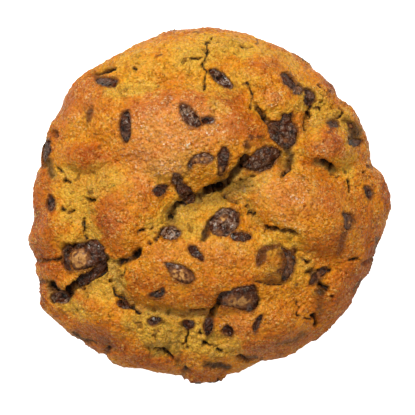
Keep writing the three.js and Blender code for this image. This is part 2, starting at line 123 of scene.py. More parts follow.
# Cracks: half-width, depth, points. They are drawn jagged.
CRACKS = [
    (0.3, 1, [(-13.8, -9.4), (-12.6, -7), (-10.6, -4.2), (-9.5, -1.8), (-9, 0.2)]),
    (0.4, 1, [(-9, 0.3), (-7, 0.9), (-4.4, 1.4), (-2, 3.2)]),
    (0.5, 1.3, [(-1.6, 3.2), (-0.4, 4), (1, 4.4), (2.6, 4.7), (4, 5.2)]),
    (0.4, 1.2, [(4.4, 5.8), (5.8, 7.6), (7.2, 9.2), (8.8, 10.6)]), (0.6, 1.6, [(8.4, 10.8), (9.2, 12.2)]),
    (0.5, 1.4, [(3, 3.8), (4.8, 1.8), (6, 1.2), (7.8, 0.9)]),
    (0.35, 0.8, [(10, -0.4), (10.2, -1.8), (11.6, -2.6)]),
    (0.28, 0.9, [(14.8, -5.8), (17, -6.6), (20, -6.6), (22.6, -7.8)]),
    (0.4, 1.2, [(-5, -28), (-2.4, -27.8), (0.4, -28.4), (1.8, -26.6), (2.2, -25)]),
    (0.5, 1.2, [(2.2, -25), (3.4, -23.6), (5, -23.4)]),
    (0.5, 1.4, [(-33.8, -19.4), (-35.6, -21), (-37, -22.6)]),
    (0.55, 1.2, [(-26.9, -15), (-28.2, -17.4), (-30.6, -19.2), (-33.4, -20.8)]),
    (0.6, 1.6, [(-37, -22), (-36.8, -23.6), (-38.4, -24.6), (-41, -25.4)]),
    (0.6, 1.4, [(-41.8, -21), (-40.6, -22.8), (-39.2, -23.8)]),
    (0.4, 1.2, [(12.6, 25.2), (13.8, 23), (15.4, 21.2)]),
    (0.6, 1.4, [(29.2, 11), (30.6, 10.4), (31.8, 9.6)]),
    (0.7, 1.8, [(28.4, -20.8), (29.6, -21.4), (30.8, -22.2)]),
    (0.45, 1, [(-24.6, -23.6), (-22.6, -24.6), (-20.4, -26.6), (-18.4, -28.2)]),
    (0.26, 0.9, [(26.4, 26), (25.2, 24.4), (26, 23), (25, 21.6), (24.8, 20)]),
    (0.26, 0.8, [(26.2, 26.2), (28, 25.8), (29.6, 25)]),
    (0.26, 0.8, [(28.6, 31.4), (30.4, 30), (31.6, 28.4)]),
    (0.6, 1.2, [(-32.4, -10.2), (-34.4, -10.8), (-36.6, -11), (-38.4, -12.2)]),
    (0.22, 0.5, [(11.2, -20), (13.4, -20.6), (16, -21.2), (18.6, -21)]),
    (0.26, 0.8, [(0.6, 44.4), (-0.6, 42.6), (-0.3, 40.4), (-1.2, 38.3), (-2, 37.2), (-1, 35),
        (-1.3, 32.6), (-1.2, 30.2)]),
    (0.5, 1.2, [(0.4, 43.8), (-0.7, 42.6)]), (0.9, 2.2, [(-18.8, -12.2), (-19.4, -13.2), (-20.2, -13.4)]),
    (0.45, 1.3, [(-20.4, -13.6), (-22.4, -14.6), (-24, -14.8), (-23.4, -16.4)]),
    (0.4, 1.2, [(-20, -8), (-18, -7), (-15.6, -6.6), (-15, -5.4)]),
    (0.5, 1.4, [(-16.4, -9.2), (-15.6, -10)]), (0.4, 1.4, [(18.2, 10.4), (19.2, 9.4), (20.4, 9.2)]),
    (0.45, 1.4, [(20.6, 9.8), (19.6, 8.8), (18.8, 7.8)]), (0.4, 1.2, [(36.4, 6.4), (36.6, 3.8)]),
    (0.45, 1.4, [(40.2, 8.6), (42, 9.4)]), (0.4, 1, [(31.6, 8), (33.4, 7.6)]),
    (0.3, 1.2, [(25.2, -17.8), (27.4, -17.4), (29.2, -17.4)]), (0.4, 1.4, [(30.8, -22.4), (32.4, -24.4)]),
    (0.25, 0.9, [(23.2, -29), (24.8, -29.8), (26.8, -30.4)]),
    (0.5, 1.8, [(27, -29.2), (27.6, -30.6), (28, -32)]),
    (0.7, 2.2, [(43.6, -14.2), (42, -15), (40.8, -15.9)]),
    (0.35, 0.9, [(40.8, -15.9), (38.4, -14.2), (36, -14.6)]),
    (0.35, 0.9, [(35.6, -17.8), (33, -17), (30.6, -17.4)]), (0.9, 2.2, [(-41.6, 19.4), (-40.8, 18.6)]),
    (0.4, 1.2, [(-40, 10.2), (-38.4, 8.4), (-38.2, 6.6), (-36.8, 6)]),
    (0.5, 1.5, [(-33, 1.6), (-31.8, 1), (-30.6, 0.9)]), (0.5, 1.4, [(-38.8, -0.9), (-37, -2), (-36, -1.8)]),
    (0.45, 1.3, [(-33.4, -3), (-32.8, -5.6), (-32.2, -8.8)]),
    (0.4, 1, [(-44.2, -14.3), (-41, -14.6), (-39.4, -14)]),
    (0.5, 1.5, [(-25.6, -20.4), (-25, -22), (-24.4, -23.8)]), (0.5, 1.4, [(-33, -22.4), (-32.2, -24.2)]),
    (0.4, 1, [(-29.8, 35), (-27, 35.4), (-25, 36)]),
    (0.5, 1.6, [(-15, -23.9), (-13.4, -23), (-12.4, -21.8)]),
    (0.25, 0.9, [(1.8, -38.2), (3, -38.8), (4.4, -39.2)]),
    (0.35, 1.2, [(7.4, -40.2), (9.4, -41), (11, -41.6)]),
    (0.4, 1.2, [(34.9, 27.4), (34.8, 24.6), (33.2, 23.2)]),
    (0.3, 1.1, [(22.9, -25.6), (23.3, -27.4), (23, -29)]),
    (0.5, 1.3, [(22.4, -12.4), (23.8, -14), (25.8, -15.2)]),
    (0.4, 1.1, [(-14.6, -38), (-11.6, -38.6), (-9.4, -41)]),
    (0.4, 1.1, [(-5.4, -33.2), (-6.4, -35), (-6, -38)]),
    (0.4, 1, [(-2.6, -32.6), (-2.2, -36), (0.2, -37.2)]),
    (0.35, 0.9, [(-24, -20.2), (-22.4, -18), (-22, -14.8)]),
    (0.35, 0.8, [(10.6, 25.4), (11.2, 29), (9.4, 32)]),
    (0.35, 0.8, [(-20.6, 37.6), (-20, 36.2), (-19.4, 35.6)]),
    (0.35, 0.8, [(-6, 38.6), (-4, 38.2), (-2, 38.8)]), (0.35, 0.8, [(7, 41.6), (9.4, 41.4), (11, 42)]),
    (0.9, 1.4, [(-46.5, -20.2), (-43.4, -20.6)]), (0.7, 1, [(-46.4, 10.8), (-43.6, 10.2)]),
    (0.8, 0.6, [(-7.4, -46.6), (-6.6, -43.4)]), (0.6, 0.5, [(14, -43), (13.6, -40.8)]),
    (0.8, 1.1, [(-28, -41.2), (-27, -38.2)]), (0.5, 0.8, [(36.4, 27.2), (34.2, 25.8)]),
    (0.5, 0.5, [(13.2, 45.6), (12.4, 42.8)]), (0.7, 0.6, [(45, 10.4), (41.8, 10.4)]),
]

# Painted shade: dark brown laid along crevices, beside furrows and under overhanging knobs, where shade
# falls; these places also sink a little. Half-width, strength, points.
PAINTED_SHADE_PATHS = [
    (0.8, 0.5, [(-9.8, -2.4), (-9.2, -0.4), (-6.5, 0.9), (-3, 1.8), (-1, 3.2)]),
    (2.4, 0.42, [(-5, -0.2), (0, 1.6), (5, 2.6)]), (2, 0.26, [(10.8, -5), (15, -7.4)]),
    (1.6, 0.3, [(-9, -4), (-7, -5.6)]), (2.2, 0.52, [(5.2, 3.8), (9.6, 5.8)]),
    (1.6, 0.4, [(27.6, -24), (29, -28)]), (2.4, 0.25, [(-16, -36), (-8, -33)]),
    (1, 0.8, [(-1, 3.6), (1, 4.4), (3, 5), (4.8, 6)]), (0.75, 0.85, [(5.4, 7.2), (8, 10.2), (9.4, 12)]),
    (1.3, 0.75, [(20, 15), (21, 12.5), (20.4, 10.5)]), (0.8, 0.8, [(-0.2, -4.6), (-1.2, -7), (-1.8, -9)]),
    (1.1, 0.8, [(-24, -15.2), (-21.5, -14.4), (-19, -13)]),
    (1, 0.9, [(-41, -22), (-38, -24.4), (-35.4, -21.8), (-31.4, -19), (-27.8, -16.6), (-26.8, -14)]),
    (1.2, 0.4, [(0, -29), (0, -35), (5, -34)]),
    (0.7, 0.35, [(-7.6, -28.9), (-4, -28.4), (0, -28.6), (2, -26)]), (1.8, 0.3, [(-27, -18), (-33, -22.6)]),
    (1.2, 0.7, [(26.6, -17.6), (28.4, -20), (29.4, -22.6)]),
    (1.3, 0.55, [(36, 22.6), (38, 20), (38.4, 17)]), (1, 0.5, [(28, 11.4), (30.4, 10.6), (32, 9.6)]),
    (0.5, 0.5, [(26, 26), (25.4, 24), (24.8, 20.5)]), (0.7, 0.35, [(10.6, -1.6), (12.4, -3.6), (14.6, -6)]),
    (0.45, 0.7, [(14.6, -6.2), (18, -6.8), (22.4, -7.6)]),
    (0.6, 0.6, [(12.6, 25.2), (13.8, 23), (15.4, 21.2)]),
    (1, 0.6, [(-42.8, 15.6), (-42.4, 11), (-41.2, 7.4)]),
    (0.8, 0.3, [(-16, -27.4), (-12, -26.4), (-8, -27.8)]),
    (0.8, 0.35, [(-11.4, -38), (-10, -36.2), (-7.4, -37), (-8.4, -42.4)]),
    (1, 0.7, [(-1, -42), (2, -42.6), (5, -42.9)]), (0.8, 0.6, [(7.4, -40.4), (10, -40.8), (12, -40.6)]),
    (0.6, 0.4, [(-38.6, -11.6), (-36.6, -10.8), (-33.6, -10.6)]),
    (0.5, 0.7, [(-12.4, -6.2), (-13.9, -9.4)]), (0.5, 0.6, [(-46, -14.8), (-41, -14.7), (-39.2, -14.4)]),
    (0.8, 0.5, [(-30.4, 34.4), (-28, 35.2), (-26, 36)]), (0.8, 0.5, [(25, -34), (22, -36), (18, -37)]),
    (0.6, 0.7, [(-36, -34), (-33, -36), (-30, -36.4)]), (0.5, 0.6, [(38, -23), (40, -20)]),
    (0.6, 0.6, [(43.8, -9), (43.8, -12)]),
]

# Patches of the crust's colour: x, y, half-length, half-width, turn, strength.
CRUMB_PATCHES = [  # pale yellow, open crumb that browned little
    (-20, -30.6, 4, 3, 0, 1), (-11, -38, 4, 2.6, 0, 1), (1, -38, 4, 3, 0, 0.6),
    # the first patch on the next line also paints light on a slope that faces away from the lamps
    (-11.5, 9.6, 9, 4.2, 12, 0.9), (-2.4, 14.8, 4, 1.8, 20, 0.5), (-14.6, -5, 3.4, 4, 0, 0.75),
    (12, 1, 3, 3, 0, 0.4), (24, -8, 5, 2.4, -30, 0.5), (13, 26, 3, 3, 0, 0.4), (12, 29, 2, 3, 0, 0.4),
    (-38, -8.8, 5, 2, 0, 0.9), (-4, 38, 4, 3, 0, 0.4), (2, -9, 4, 1.6, 0, 0.4), (13, -3, 4, 3, 0, 0.5),
    (0, 25.4, 3, 2, 0, 0.5), (25, 33, 4, 2, -40, 0.5), (30, -32, 4, 2, 40, 0.3),
    (-24, 28.4, 8, 2.2, 10, 0.4), (0, 31.4, 8, 2.6, 0, 0.4), (10, 15.4, 3, 2, 0, 0.7),
    (-35, 18, 3, 4, 0, 0.3), (-18, 30, 10, 1.6, 6, 0.5), (-34, -13.6, 2.6, 2, 0, 0.7),
    (-30, -8, 3, 2.4, 0, 0.7), (22, 31, 6, 2, -30, 0.4), (-3.4, -16, 2.6, 1.6, 0, 0.4),
    (5.4, -36, 8, 2.6, 0, 0.3), (1, 30, 6, 1.6, 0, 0.4), (-20, 31, 8, 2.2, 4, 0.7), (-5, -6, 4, 3, 0, 0.5),
    (10, 5, 4, 2.4, 10, 0.5), (-25, -16.6, 2.4, 2.6, 0, 0.5), (-10, 38.6, 21, 5.2, 5, 0.75),
    (6, 42, 11, 3.4, -12, 0.6), (8, 32, 5.5, 4.5, 30, 0.75), (3, 25.4, 4, 2, -30, 0.6),
    (-33, 4.5, 9, 5.6, 0, 0.9), (-26.5, 8.4, 5.5, 4.5, 0, 0.8), (-36.5, -3.4, 5.5, 3.6, 10, 0.8),
    (-31, -6, 2.4, 5, 0, 0.7), (-9, -3.4, 4.6, 3.6, 30, 1), (0, 0.8, 8.5, 3.6, 10, 0.95),
    (9.4, 6, 5.4, 2.8, 15, 1), (-3, -7.5, 6, 2.6, 0, 0.5), (36.4, 4, 3.4, 8, -6, 0.5),
    (39, 9, 3.4, 2.4, 40, 0.4), (37, 14, 1.6, 4, 0, 0.5), (29.4, 25.4, 6.5, 4.2, -35, 1),
    (24.4, 22, 3, 4.6, 0, 0.5), (35.6, 22.8, 4, 3.4, 0, 0.9), (37.6, 18.4, 2.6, 3, 0, 0.8),
    (18.4, 24.2, 4.6, 1.6, 10, 0.7), (-29.2, -21.4, 6, 5, 20, 1.1), (-36.6, -26.8, 6, 2.4, -30, 0.95),
    (-24, -19.4, 2, 4.6, 15, 0.7), (-13.2, -33.6, 6.2, 5.4, 0, 1.1), (-3.4, -34, 4.4, 4.6, 0, 1.1),
    (1.6, -37.4, 6.4, 3.6, 0, 0.9), (-8.6, -29.6, 10, 1.5, -6, 0.9), (18.6, -9.8, 6.5, 2.6, -16, 0.9),
    (24.6, -15.6, 3.6, 3.4, 0, 0.8), (22.4, -20.4, 3, 2, 20, 0.5), (6, -11.4, 6, 1.8, -4, 0.4),
    (21.6, 12.6, 3.4, 4.6, 0, 0.8), (33, 10, 4, 2.4, -10, 0.6), (27.6, 17.6, 2, 4, 0, 0.6),
    (-27, -15.8, 3, 2.2, 30, 0.7), (-37, 10, 3.6, 3.6, 0, 0.5), (20, 38, 6, 2, -35, 0.4),
    (-22, 31, 6, 2.6, 0, 0.35), (12, -25.8, 6, 2, 0, 0.25),
]
BROWN_PATCHES = [  # crust that browned deepest
    (6, 27, 4, 4.6, 0, 0.4), (-5, -30, 9, 1.6, 0, 0.5), (5, -35.6, 4, 2.2, 0, 0.5),
    (-25.6, -17.4, 3, 2, 0, 0.6), (24, 22, 3, 3, 0, 0.9), (38, 23, 3, 3, 0, 0.6), (-10, 26, 5, 2, 0, 0.3),
    (5, 20, 3, 3, 0, 0.3), (28, 9, 3, 2.4, 0, 0.3), (30, 20, 4, 3, 0, 0.3), (-5, -30, 5, 1.6, 0, 0.3),
    (-2, 26, 5, 2.4, 0, 0.25), (-24, -13, 2.4, 3, 0, 0.4), (-16, 1.6, 3, 3, 0, 0.2), (-32, 7, 4, 5, 0, 0.3),
    (36, 1, 3, 4, 0, 0.3), (8, -34, 4, 2, 0, 0.3), (25, -26, 4, 3, 0, 0.3), (32, 30, 3, 3, 0, 0.3),
    (-16, 27, 8, 3, 10, 0.3), (-2, 24.6, 3, 2, 0, 0.3), (17, 18, 2, 2, 0, 0.3), (-26, 7, 4, 4, 0, 0.3),
    (-32, -26, 4, 3, 0, 0.4), (-31, -12, 4, 3, 0, 0.3), (-6, -10, 3, 2, 0, 0.35), (12, 35, 3, 3, 0, 0.35),
    (-42, 5, 3, 3, 0, 0.3), (34, 24, 4, 3, 0, 0.4), (-28, -5, 4.4, 4.4, 0, 0.3),
    (-34, -24.6, 4, 2.6, -30, 0.4), (-42.4, -1, 3, 5, 0, 0.35), (-20, 7, 4, 3, 0, 0.3),
    (20, 30.4, 3, 3, 0, 0.35), (33.4, 15, 4, 4, 0, 0.4), (25.6, 12.6, 2.6, 3, 0, 0.35),
    (8, -32, 4, 3, 0, 0.4), (28, -11.5, 4.6, 4.6, -30, 0.75), (0, -25.4, 7, 2, 0, 0.45),
    (-19, -21.6, 5, 4, -20, 0.55), (5.4, 28, 3.6, 3, 0, 0.6), (-13, 40, 3, 2, 0, 0.35),
    (-30, 30, 5, 5, 0, 0.4), (32, 2, 4.4, 5, 0, 0.55), (38.6, -1, 3, 6, 0, 0.25), (40, 10, 3, 3.4, 0, 0.2),
    (-27, -7, 3, 4, 0, 0.4), (-43.4, 7, 2, 4, 0, 0.6), (-43.6, -2.4, 2, 3, 0, 0.5),
    (-32, 5.6, 4, 2, 0, 0.3), (12, -36.4, 8, 2.6, 10, 0.25), (10, -20, 5, 2, 0, 0.3), (22, 3, 4, 3, 0, 0.2),
    (-16.6, 25.2, 8, 3, 28, 0.5), (-3, 28.6, 9, 1.8, -4, 0.45), (7.8, 20, 3.6, 8.5, 20, 0.5),
    (12, 20.5, 3.4, 4, -20, 0.5), (-31, 12, 7, 4.4, -8, 0.9), (-40, 22, 4, 9, -22, 0.5),
    (-34.6, 27.4, 5, 6, -40, 0.35), (-46, -2, 1.6, 12, 4, 0.6), (-43.6, -9, 4, 5, 0, 0.6),
    (-26, -2.6, 5, 10, 10, 0.65), (-19, 4.4, 4, 4, 0, 0.4), (-17, -18, 6, 5, 0, 0.15),
    (-8, -23, 12, 3.2, -8, 0.4), (2.6, -16.6, 8, 5, 0, 0.45), (-41.6, -16, 5, 3.4, -30, 0.8),
    (-44.4, -23.6, 2.6, 4, 0, 0.9), (-30, -34.6, 10, 2.4, -28, 0.7), (-21.6, -38.6, 7, 3, -20, 0.65),
    (-13, -41.6, 7, 2.2, 4, 0.6), (-26, -32, 4, 3, -20, 0.3), (15, -37.6, 13, 3.6, 12, 0.55),
    (28, -31, 7, 4.4, 42, 0.45), (37, -22, 5.4, 8, -28, 0.9), (43, -10, 3.4, 10, 14, 0.7),
    (46.4, 3.4, 2, 7, 0, 0.75), (31, 15.4, 5, 3.8, 0, 0.6), (33.4, 33, 4, 3, -40, 0.9),
    (29, 36, 6, 1.6, -40, 0.3), (15.6, 38.4, 4.6, 3.6, -20, 0.6), (15.4, 28.6, 5, 2.6, -30, 0.4),
    (34, -10, 3, 8, 10, 0.5), (41, 25, 2.4, 5, 14, 0.6), (-6, 46.4, 14, 1.2, 2, 0.4),
    (20, 42, 10, 1.4, -32, 0.4), (17, -31, 6, 4, 10, 0.3), (-2, -45.4, 5, 2, 0, 0.9),
    (40, 14.6, 3, 3, 0, 0.4),
]
PAINTED_GLARE_PATCHES = [  # painted pinkish, fine-grained glare on the tops of the knobs, which also lightens slopes turned away from the lamps
    (-14, 11, 7, 2.4, -10, 0.9), (-9.6, 9.4, 3, 1.6, 0, 0.8), (20, -4, 6, 2, -30, 0.4),
    (-11, 18.6, 12, 9.5, 10, 1), (1.4, 21, 5, 5, 0, 0.6), (-17, 6, 5, 4.4, 0, 0.4),
    (20, 3.4, 11, 6, -14, 0.6), (3, -12, 9, 3.6, 0, 0.4), (-11, -13, 5, 3, 0, 0.4),
    (16.6, 28.4, 2.6, 2, 0, 0.7), (29, 14.6, 3.6, 2.6, 0, 0.5), (-24, -3, 3, 6, 0, 0.25),
    (8, -30, 8, 4, 0, 0.3), (-33, 24.6, 4, 6, -30, 0.3),
]
COCOA_PATCHES = [  # dough that is stained by, or only thinly covers, the chocolate under it
    (13.4, -13.6, 1, 2.8, -25, 0.6), (16.4, -11.2, 2.8, 0.8, 10, 0.55), (19.4, -12.6, 1.8, 1.4, 0, 0.6),
    (16, -18.8, 2.6, 1.2, 0, 0.4), (29, -26, 1.6, 3.4, -20, 0.45), (34, -10, 1.2, 5, -18, 0.4),
    (16.6, -15.2, 4.8, 4.2, -10, 0.4), (20.2, -16.4, 1.8, 3.8, -15, 0.7), (8.2, -25.4, 5.2, 3.4, 5, 0.55),
    (-7.4, -18, 5, 2.8, -22, 0.6), (-31.4, 23.6, 0.8, 3.6, -12, 0.8), (-22.8, 30, 1.2, 0.7, 0, 0.5),
    (-16.2, 30.3, 1.6, 0.8, 10, 0.5), (-3.4, 45.3, 1.6, 0.6, 0, 0.8), (4.8, -33, 2.4, 2.2, 0, 0.5),
    (12.2, -31, 0.9, 2.6, -20, 0.5), (-27, -36.6, 3.8, 1.3, -35, 0.5), (-16, -37, 1.8, 1.5, 0, 0.5),
    (1.8, -42.7, 4, 1, 0, 0.7), (29, -17.8, 1.8, 1.2, 0, 0.7), (27, -19.6, 1.6, 1.2, 30, 0.6),
    (28.6, -23, 1.2, 1, 0, 0.4), (-36.6, -14.8, 2.6, 2.8, 0, 0.3), (35, -8.6, 1.4, 5.4, -16, 0.35),
    (-38, -24.2, 3.6, 1.3, 30, 0.8), (-41.6, -21.6, 1.4, 2, -30, 0.7), (-31, -18, 3, 1.2, 34, 0.8),
    (23.6, 30.8, 2, 1.5, -50, 0.6), (37.6, 19, 2.4, 3.4, 10, 0.45), (-43, 14.6, 0.9, 3.4, -14, 0.7),
    (-1, -6.6, 1.2, 1.6, 0, 0.5), (3.8, -4, 4.6, 4, 20, 0.5), (-10.2, -7.4, 3.4, 2.2, 25, 0.45),
    (-3.2, 11.6, 3, 1.6, 8, 0.25), (4, 13, 1.8, 3.6, -10, 0.4), (-8, 5.6, 2, 3, 20, 0.2),
    (13.4, 13.4, 5.6, 4.4, 10, 0.35), (38.2, 19.6, 2.2, 3.6, 10, 0.4), (15.4, -10.8, 4, 1.4, 20, 0.45),
    (13, -14, 1.4, 3, -10, 0.5), (28.6, -22.8, 2, 1.6, 0, 0.5), (-0.8, -7, 1, 2.2, -14, 0.85),
    (16, -20.4, 4, 0.9, 0, 0.6), (10.8, 17.8, 1, 0.9, 0, 0.8), (13, 17.8, 1, 0.6, 0, 0.8),
    (-23.2, -26, 1.6, 1.2, 0, 0.5), (-28.4, 15.2, 0.9, 0.7, 0, 0.8), (-29.6, 18.7, 0.7, 0.6, 0, 0.7),
    (-13.2, 39.2, 1.2, 0.6, 10, 0.8), (8.9, 31.8, 0.8, 0.6, 0, 0.7), (31, 19.2, 1, 0.6, 0, 0.8),
    (28, 15.3, 0.7, 0.6, 0, 0.6), (24.3, 7, 0.9, 0.8, 0, 0.6), (28, 25.5, 1.5, 0.6, 0, 0.7),
    (28.5, 31.7, 0.8, 0.6, 0, 0.7), (31.3, 30, 0.8, 0.7, 0, 0.8), (42.8, 5.3, 0.7, 0.6, 0, 0.7),
    (42.5, -1.6, 0.6, 0.6, 0, 0.7), (22, -12, 1, 1.2, 0, 0.8), (25.7, -15, 0.9, 0.8, 0, 0.8),
    (22.5, -21.2, 0.7, 0.6, 0, 0.8), (23.3, -26.5, 0.6, 0.9, 0, 0.7), (1.5, -23.3, 0.8, 0.6, 0, 0.7),
    (-13.6, -33, 0.6, 0.5, 0, 0.8), (-15.9, -9.6, 0.5, 0.7, 0, 0.7), (-3.8, -1.3, 0.7, 0.6, 0, 0.6),
    (-31, -20.7, 0.7, 0.6, 0, 0.7), (-22, -24.5, 0.6, 0.5, 0, 0.7), (-5.5, -44, 1, 0.6, 0, 0.7),
    (-19.3, 12.2, 0.5, 0.4, 0, 0.7), (-43.6, -25, 1, 1.4, 0, 0.5), (9.5, 15.4, 1, 1.6, 0, 0.7),
    (18.4, -17.4, 1, 0.7, 0, 0.6),
]

# Openings in the crust where the chips on top show: how proud the chip stands, then the opening's outline.
OPENINGS = {
    1: (0.1, [(-30, 33.6), (-28.1, 33.9), (-26, 33.4), (-24.3, 33), (-24, 32.3), (-25.2, 31.6),
        (-26.8, 31.2), (-28.4, 31.4), (-29.5, 32.4)]),
    2: (0.1, [(-21.6, 25), (-20.8, 23.5), (-20.9, 19.7), (-20.8, 17.9), (-21.7, 16.2), (-22.9, 17.1),
        (-23.5, 19.7), (-23.6, 21.9), (-22.8, 23.5)]),
    3: (0.45, [(-8, 25.8), (-7.2, 23.2), (-6.2, 21.4), (-4.8, 20.5), (-3, 20.4), (-2.2, 21.2), (-3, 22.7),
        (-4.3, 24.2), (-5.2, 25.6), (-6.6, 26.4)]),
    4: (-0.3, [(-2.6, 22.4), (-1.3, 22.9), (0.5, 23), (1.4, 22.1), (0.5, 21.3), (-1.2, 21.1)]),
    5: (0.2, [(-0.4, 35.6), (1, 35.6), (3, 34.9), (4.7, 32.9), (6, 30.5), (3.6, 31.2), (1.8, 32.6),
        (0.2, 34)]),
    6: (0.1, [(18.8, 34.1), (19.4, 35), (21.2, 33.9), (22.5, 32.3), (22.8, 30.4), (21.5, 30),
        (19.9, 31.2), (19.2, 32.8)]),
    7: (0, [(22.8, 31.6), (24.1, 31.2), (24.5, 29.9), (23.1, 29), (21.6, 29), (22.2, 30)]),
    8: (0.1, [(24.9, 30.7), (26.3, 30.2), (27.6, 28.8), (27.2, 26.7), (25.8, 25.9), (24.8, 27.5),
        (25.3, 29.2)]),
    9: (0.1, [(15.4, 21), (17, 21.6), (18.5, 21.4), (18.9, 23), (19.4, 23.8), (20.6, 23.4), (21.6, 24.4),
        (21.2, 22), (22.3, 20.9), (22.9, 18.9), (22.2, 16.2), (20.9, 14.8), (19.2, 15), (16.9, 16.6),
        (15.4, 18.8)]),
    10: (0.35, [(8.4, 10.6), (9.4, 11.4), (9.8, 12.6), (11, 12.4), (11.8, 13.8), (13.2, 14.9),
        (15.5, 15.2), (17.9, 14.5), (18.6, 13), (17, 11.2), (15.5, 9.5), (12.8, 8.6), (10.1, 9.2),
        (8.6, 9.8)]),
    11: (0, [(4, 15.3), (4.9, 13.7), (4.9, 11.4), (4.2, 9.2), (3.2, 6.9), (2.2, 7.6), (2.5, 9.4),
        (2.1, 11.4), (2.3, 13.6)]),
    12: (0, [(-5.8, 10), (-4.8, 12), (-3, 13.2), (-1, 13.3), (0.8, 12.6), (1, 11.4), (-0.6, 11), (-3, 11),
        (-4.6, 10.4), (-5, 9)]),
    13: (0.1, [(-9.6, 7.6), (-8.6, 8.4), (-7.5, 7.4), (-7, 5.8), (-8.6, 4.8), (-9.7, 6)]),
    14: (0.1, [(-8.8, 5.2), (-7, 5.8), (-5.6, 4.7), (-4, 2.4), (-4.8, 1.3), (-7, 1.3), (-8.4, 3)]),
    15: (0, [(-14.9, 3.6), (-13.8, 4.9), (-11.6, 5.4), (-11, 4.4), (-12, 2.6), (-13.6, 2)]),
    16: (0.45, [(4.8, -0.8), (6.7, -1.6), (7.7, -3.3), (7.2, -5.9), (5.1, -7.7), (2.7, -8.2), (0.5, -7.2),
        (-0.3, -5.1), (0.7, -3.2), (2.7, -1.3)]),
    17: (0.1, [(5.4, -7.4), (8.3, -7.3), (10.1, -7.5), (11, -8.4), (9.6, -9.5), (7.2, -9.5), (5.6, -8.6)]),
    18: (0.1, [(-11, -5.5), (-9.2, -5.4), (-8.6, -6.6), (-7.3, -7), (-7.8, -8.3), (-10.1, -9.1),
        (-12.3, -8.7), (-13, -7.6), (-12, -6.4)]),
    19: (0, [(-5.7, -10.9), (-4.3, -10.7), (-2.7, -12.3), (-1.4, -14.7), (-3.5, -13.9), (-5.1, -12.8)]),
    20: (0.1, [(-11.8, -15.2), (-10, -15.5), (-7.4, -16), (-5, -17.4), (-3.8, -19.2), (-5, -20.8),
        (-7.4, -20.6), (-9.2, -19.2), (-10.6, -17.4)]),
    21: (0.1, [(18.4, -11), (20.2, -11.7), (22, -13.2), (22.7, -14.9), (21.8, -17.2), (20.4, -19.5),
        (18.8, -20.2), (18.8, -18.4), (20.1, -16.5), (20.5, -14.4), (19.6, -12.6)]),
    22: (0.3, [(2, -25.2), (3.5, -23.5), (5.3, -23), (7.2, -21.8), (9.9, -21.4), (11.8, -21),
        (12.1, -23.4), (12.9, -25), (12.4, -26.7), (10.9, -28), (8.8, -27.6), (5.6, -26.6), (2.7, -26.6)]),
    23: (-0.3, [(13.8, -28.6), (13.1, -31), (12.3, -33), (11.3, -33.3), (11.7, -31.4), (12.6, -29.4)]),
    24: (-0.6, [(3.3, -32.3), (4.8, -31.8), (6.1, -32.9), (5.9, -34.3), (4.8, -34.7), (3.5, -33.8)]),
    25: (-0.3, [(-1.3, -29.6), (0.8, -29.6), (0.9, -33.2), (-0.4, -34.9), (-1.4, -33.5)]),
    26: (-0.2, [(-7.1, -30.4), (-5.1, -30.3), (-4.1, -31.1), (-4.8, -32.7), (-6.7, -32.7)]),
    27: (0.2, [(-16.1, -30.6), (-15.2, -29.4), (-12.7, -29.7), (-12.9, -30.9), (-14.7, -31.9),
        (-15.9, -31.4)]),
    28: (0, [(-24, -25.3), (-22.6, -25.1), (-21, -26), (-20.8, -27.2), (-22.4, -26.9), (-23.7, -26.8)]),
    29: (-0.2, [(-15.6, -23.4), (-13.4, -23.6), (-12.6, -22.2), (-11.8, -22.6), (-12.2, -24.4),
        (-14, -24.6), (-15.4, -24.2)]),
    30: (0.4, [(-36.4, -11.2), (-33.4, -10), (-31.4, -9.3), (-29.2, -9.6), (-27.7, -11.8), (-27.2, -14.2),
        (-28.7, -15.8), (-31, -16.5), (-33.4, -17.2), (-35.8, -17.2), (-36.6, -14)]),
    31: (0.1, [(-38.7, -12.3), (-37.8, -11.2), (-36.4, -11), (-36.6, -13), (-36.7, -15.4), (-36, -17.6),
        (-37.6, -17.2), (-38.6, -15)]),
    32: (0, [(-27.2, -14.8), (-27.9, -16.5), (-30, -18.1), (-32, -19.3), (-33.4, -20.6), (-34.4, -21.4),
        (-34.6, -20.2), (-33.6, -18.9), (-31.6, -17.9), (-29.4, -16.8), (-28.4, -15.6)]),
    33: (0.1, [(-41.3, -23.5), (-39.9, -23.4), (-38.5, -24.4), (-37, -24.7), (-38.3, -25.7), (-39.9, -26),
        (-41.6, -25.3)]),
    34: (0, [(-42, 2.6), (-41.2, 2.2), (-40.5, 0), (-40.8, -1.4), (-42.4, -1.4), (-42.6, 0.4)]),
    35: (0, [(34.3, -2.3), (35.7, -2.2), (37.3, -3), (37.6, -4.8), (36.4, -6.8), (35.5, -6.1), (35.3, -4)]),
    36: (-0.1, [(40.8, 5.3), (41.7, 4.6), (42.8, 3.2), (42.4, 1.5), (41.1, 1.8), (40.6, 3.5)]),
    37: (0, [(36.2, 18), (36.9, 17.2), (39.1, 17.4), (40.2, 16.8), (38.9, 15.6), (36.8, 15.8)]),
    38: (0, [(36.4, 21.6), (38.3, 21.6), (38.2, 20.3), (36.9, 20.2)]),
    39: (-0.1, [(30.8, 21.6), (32.1, 22.8), (33.5, 22.2), (33.7, 20.5), (32.1, 20.4), (31, 20.6)]),
    40: (0, [(29.2, -16.6), (30.9, -16.7), (30.3, -18.1), (29.2, -18.8), (28.6, -19.8), (27.1, -20.9),
        (25.9, -21.1), (26.8, -19.2), (28.1, -18)]),
}
BLOOM_AND_HIGHLIGHT = {  # share of grey bloom and painted grey highlights on a chip, where it isn't the usual one
    3: 0.9, 4: 0, 5: 0.5, 7: 0.9, 9: 0.35, 10: 0.45, 11: 0.1, 12: 1, 13: 0.9, 14: 0.4, 15: 0.1, 16: 0.7,
    17: 0.2, 18: 0.9, 19: 0, 24: 0.1, 25: 0.05, 26: 0.05, 27: 0.4, 30: 0.2, 31: 0.2, 32: 0.05, 33: 0.6,
    38: 0, 40: 0,
}
USUAL_BLOOM_AND_HIGHLIGHT = 0.2
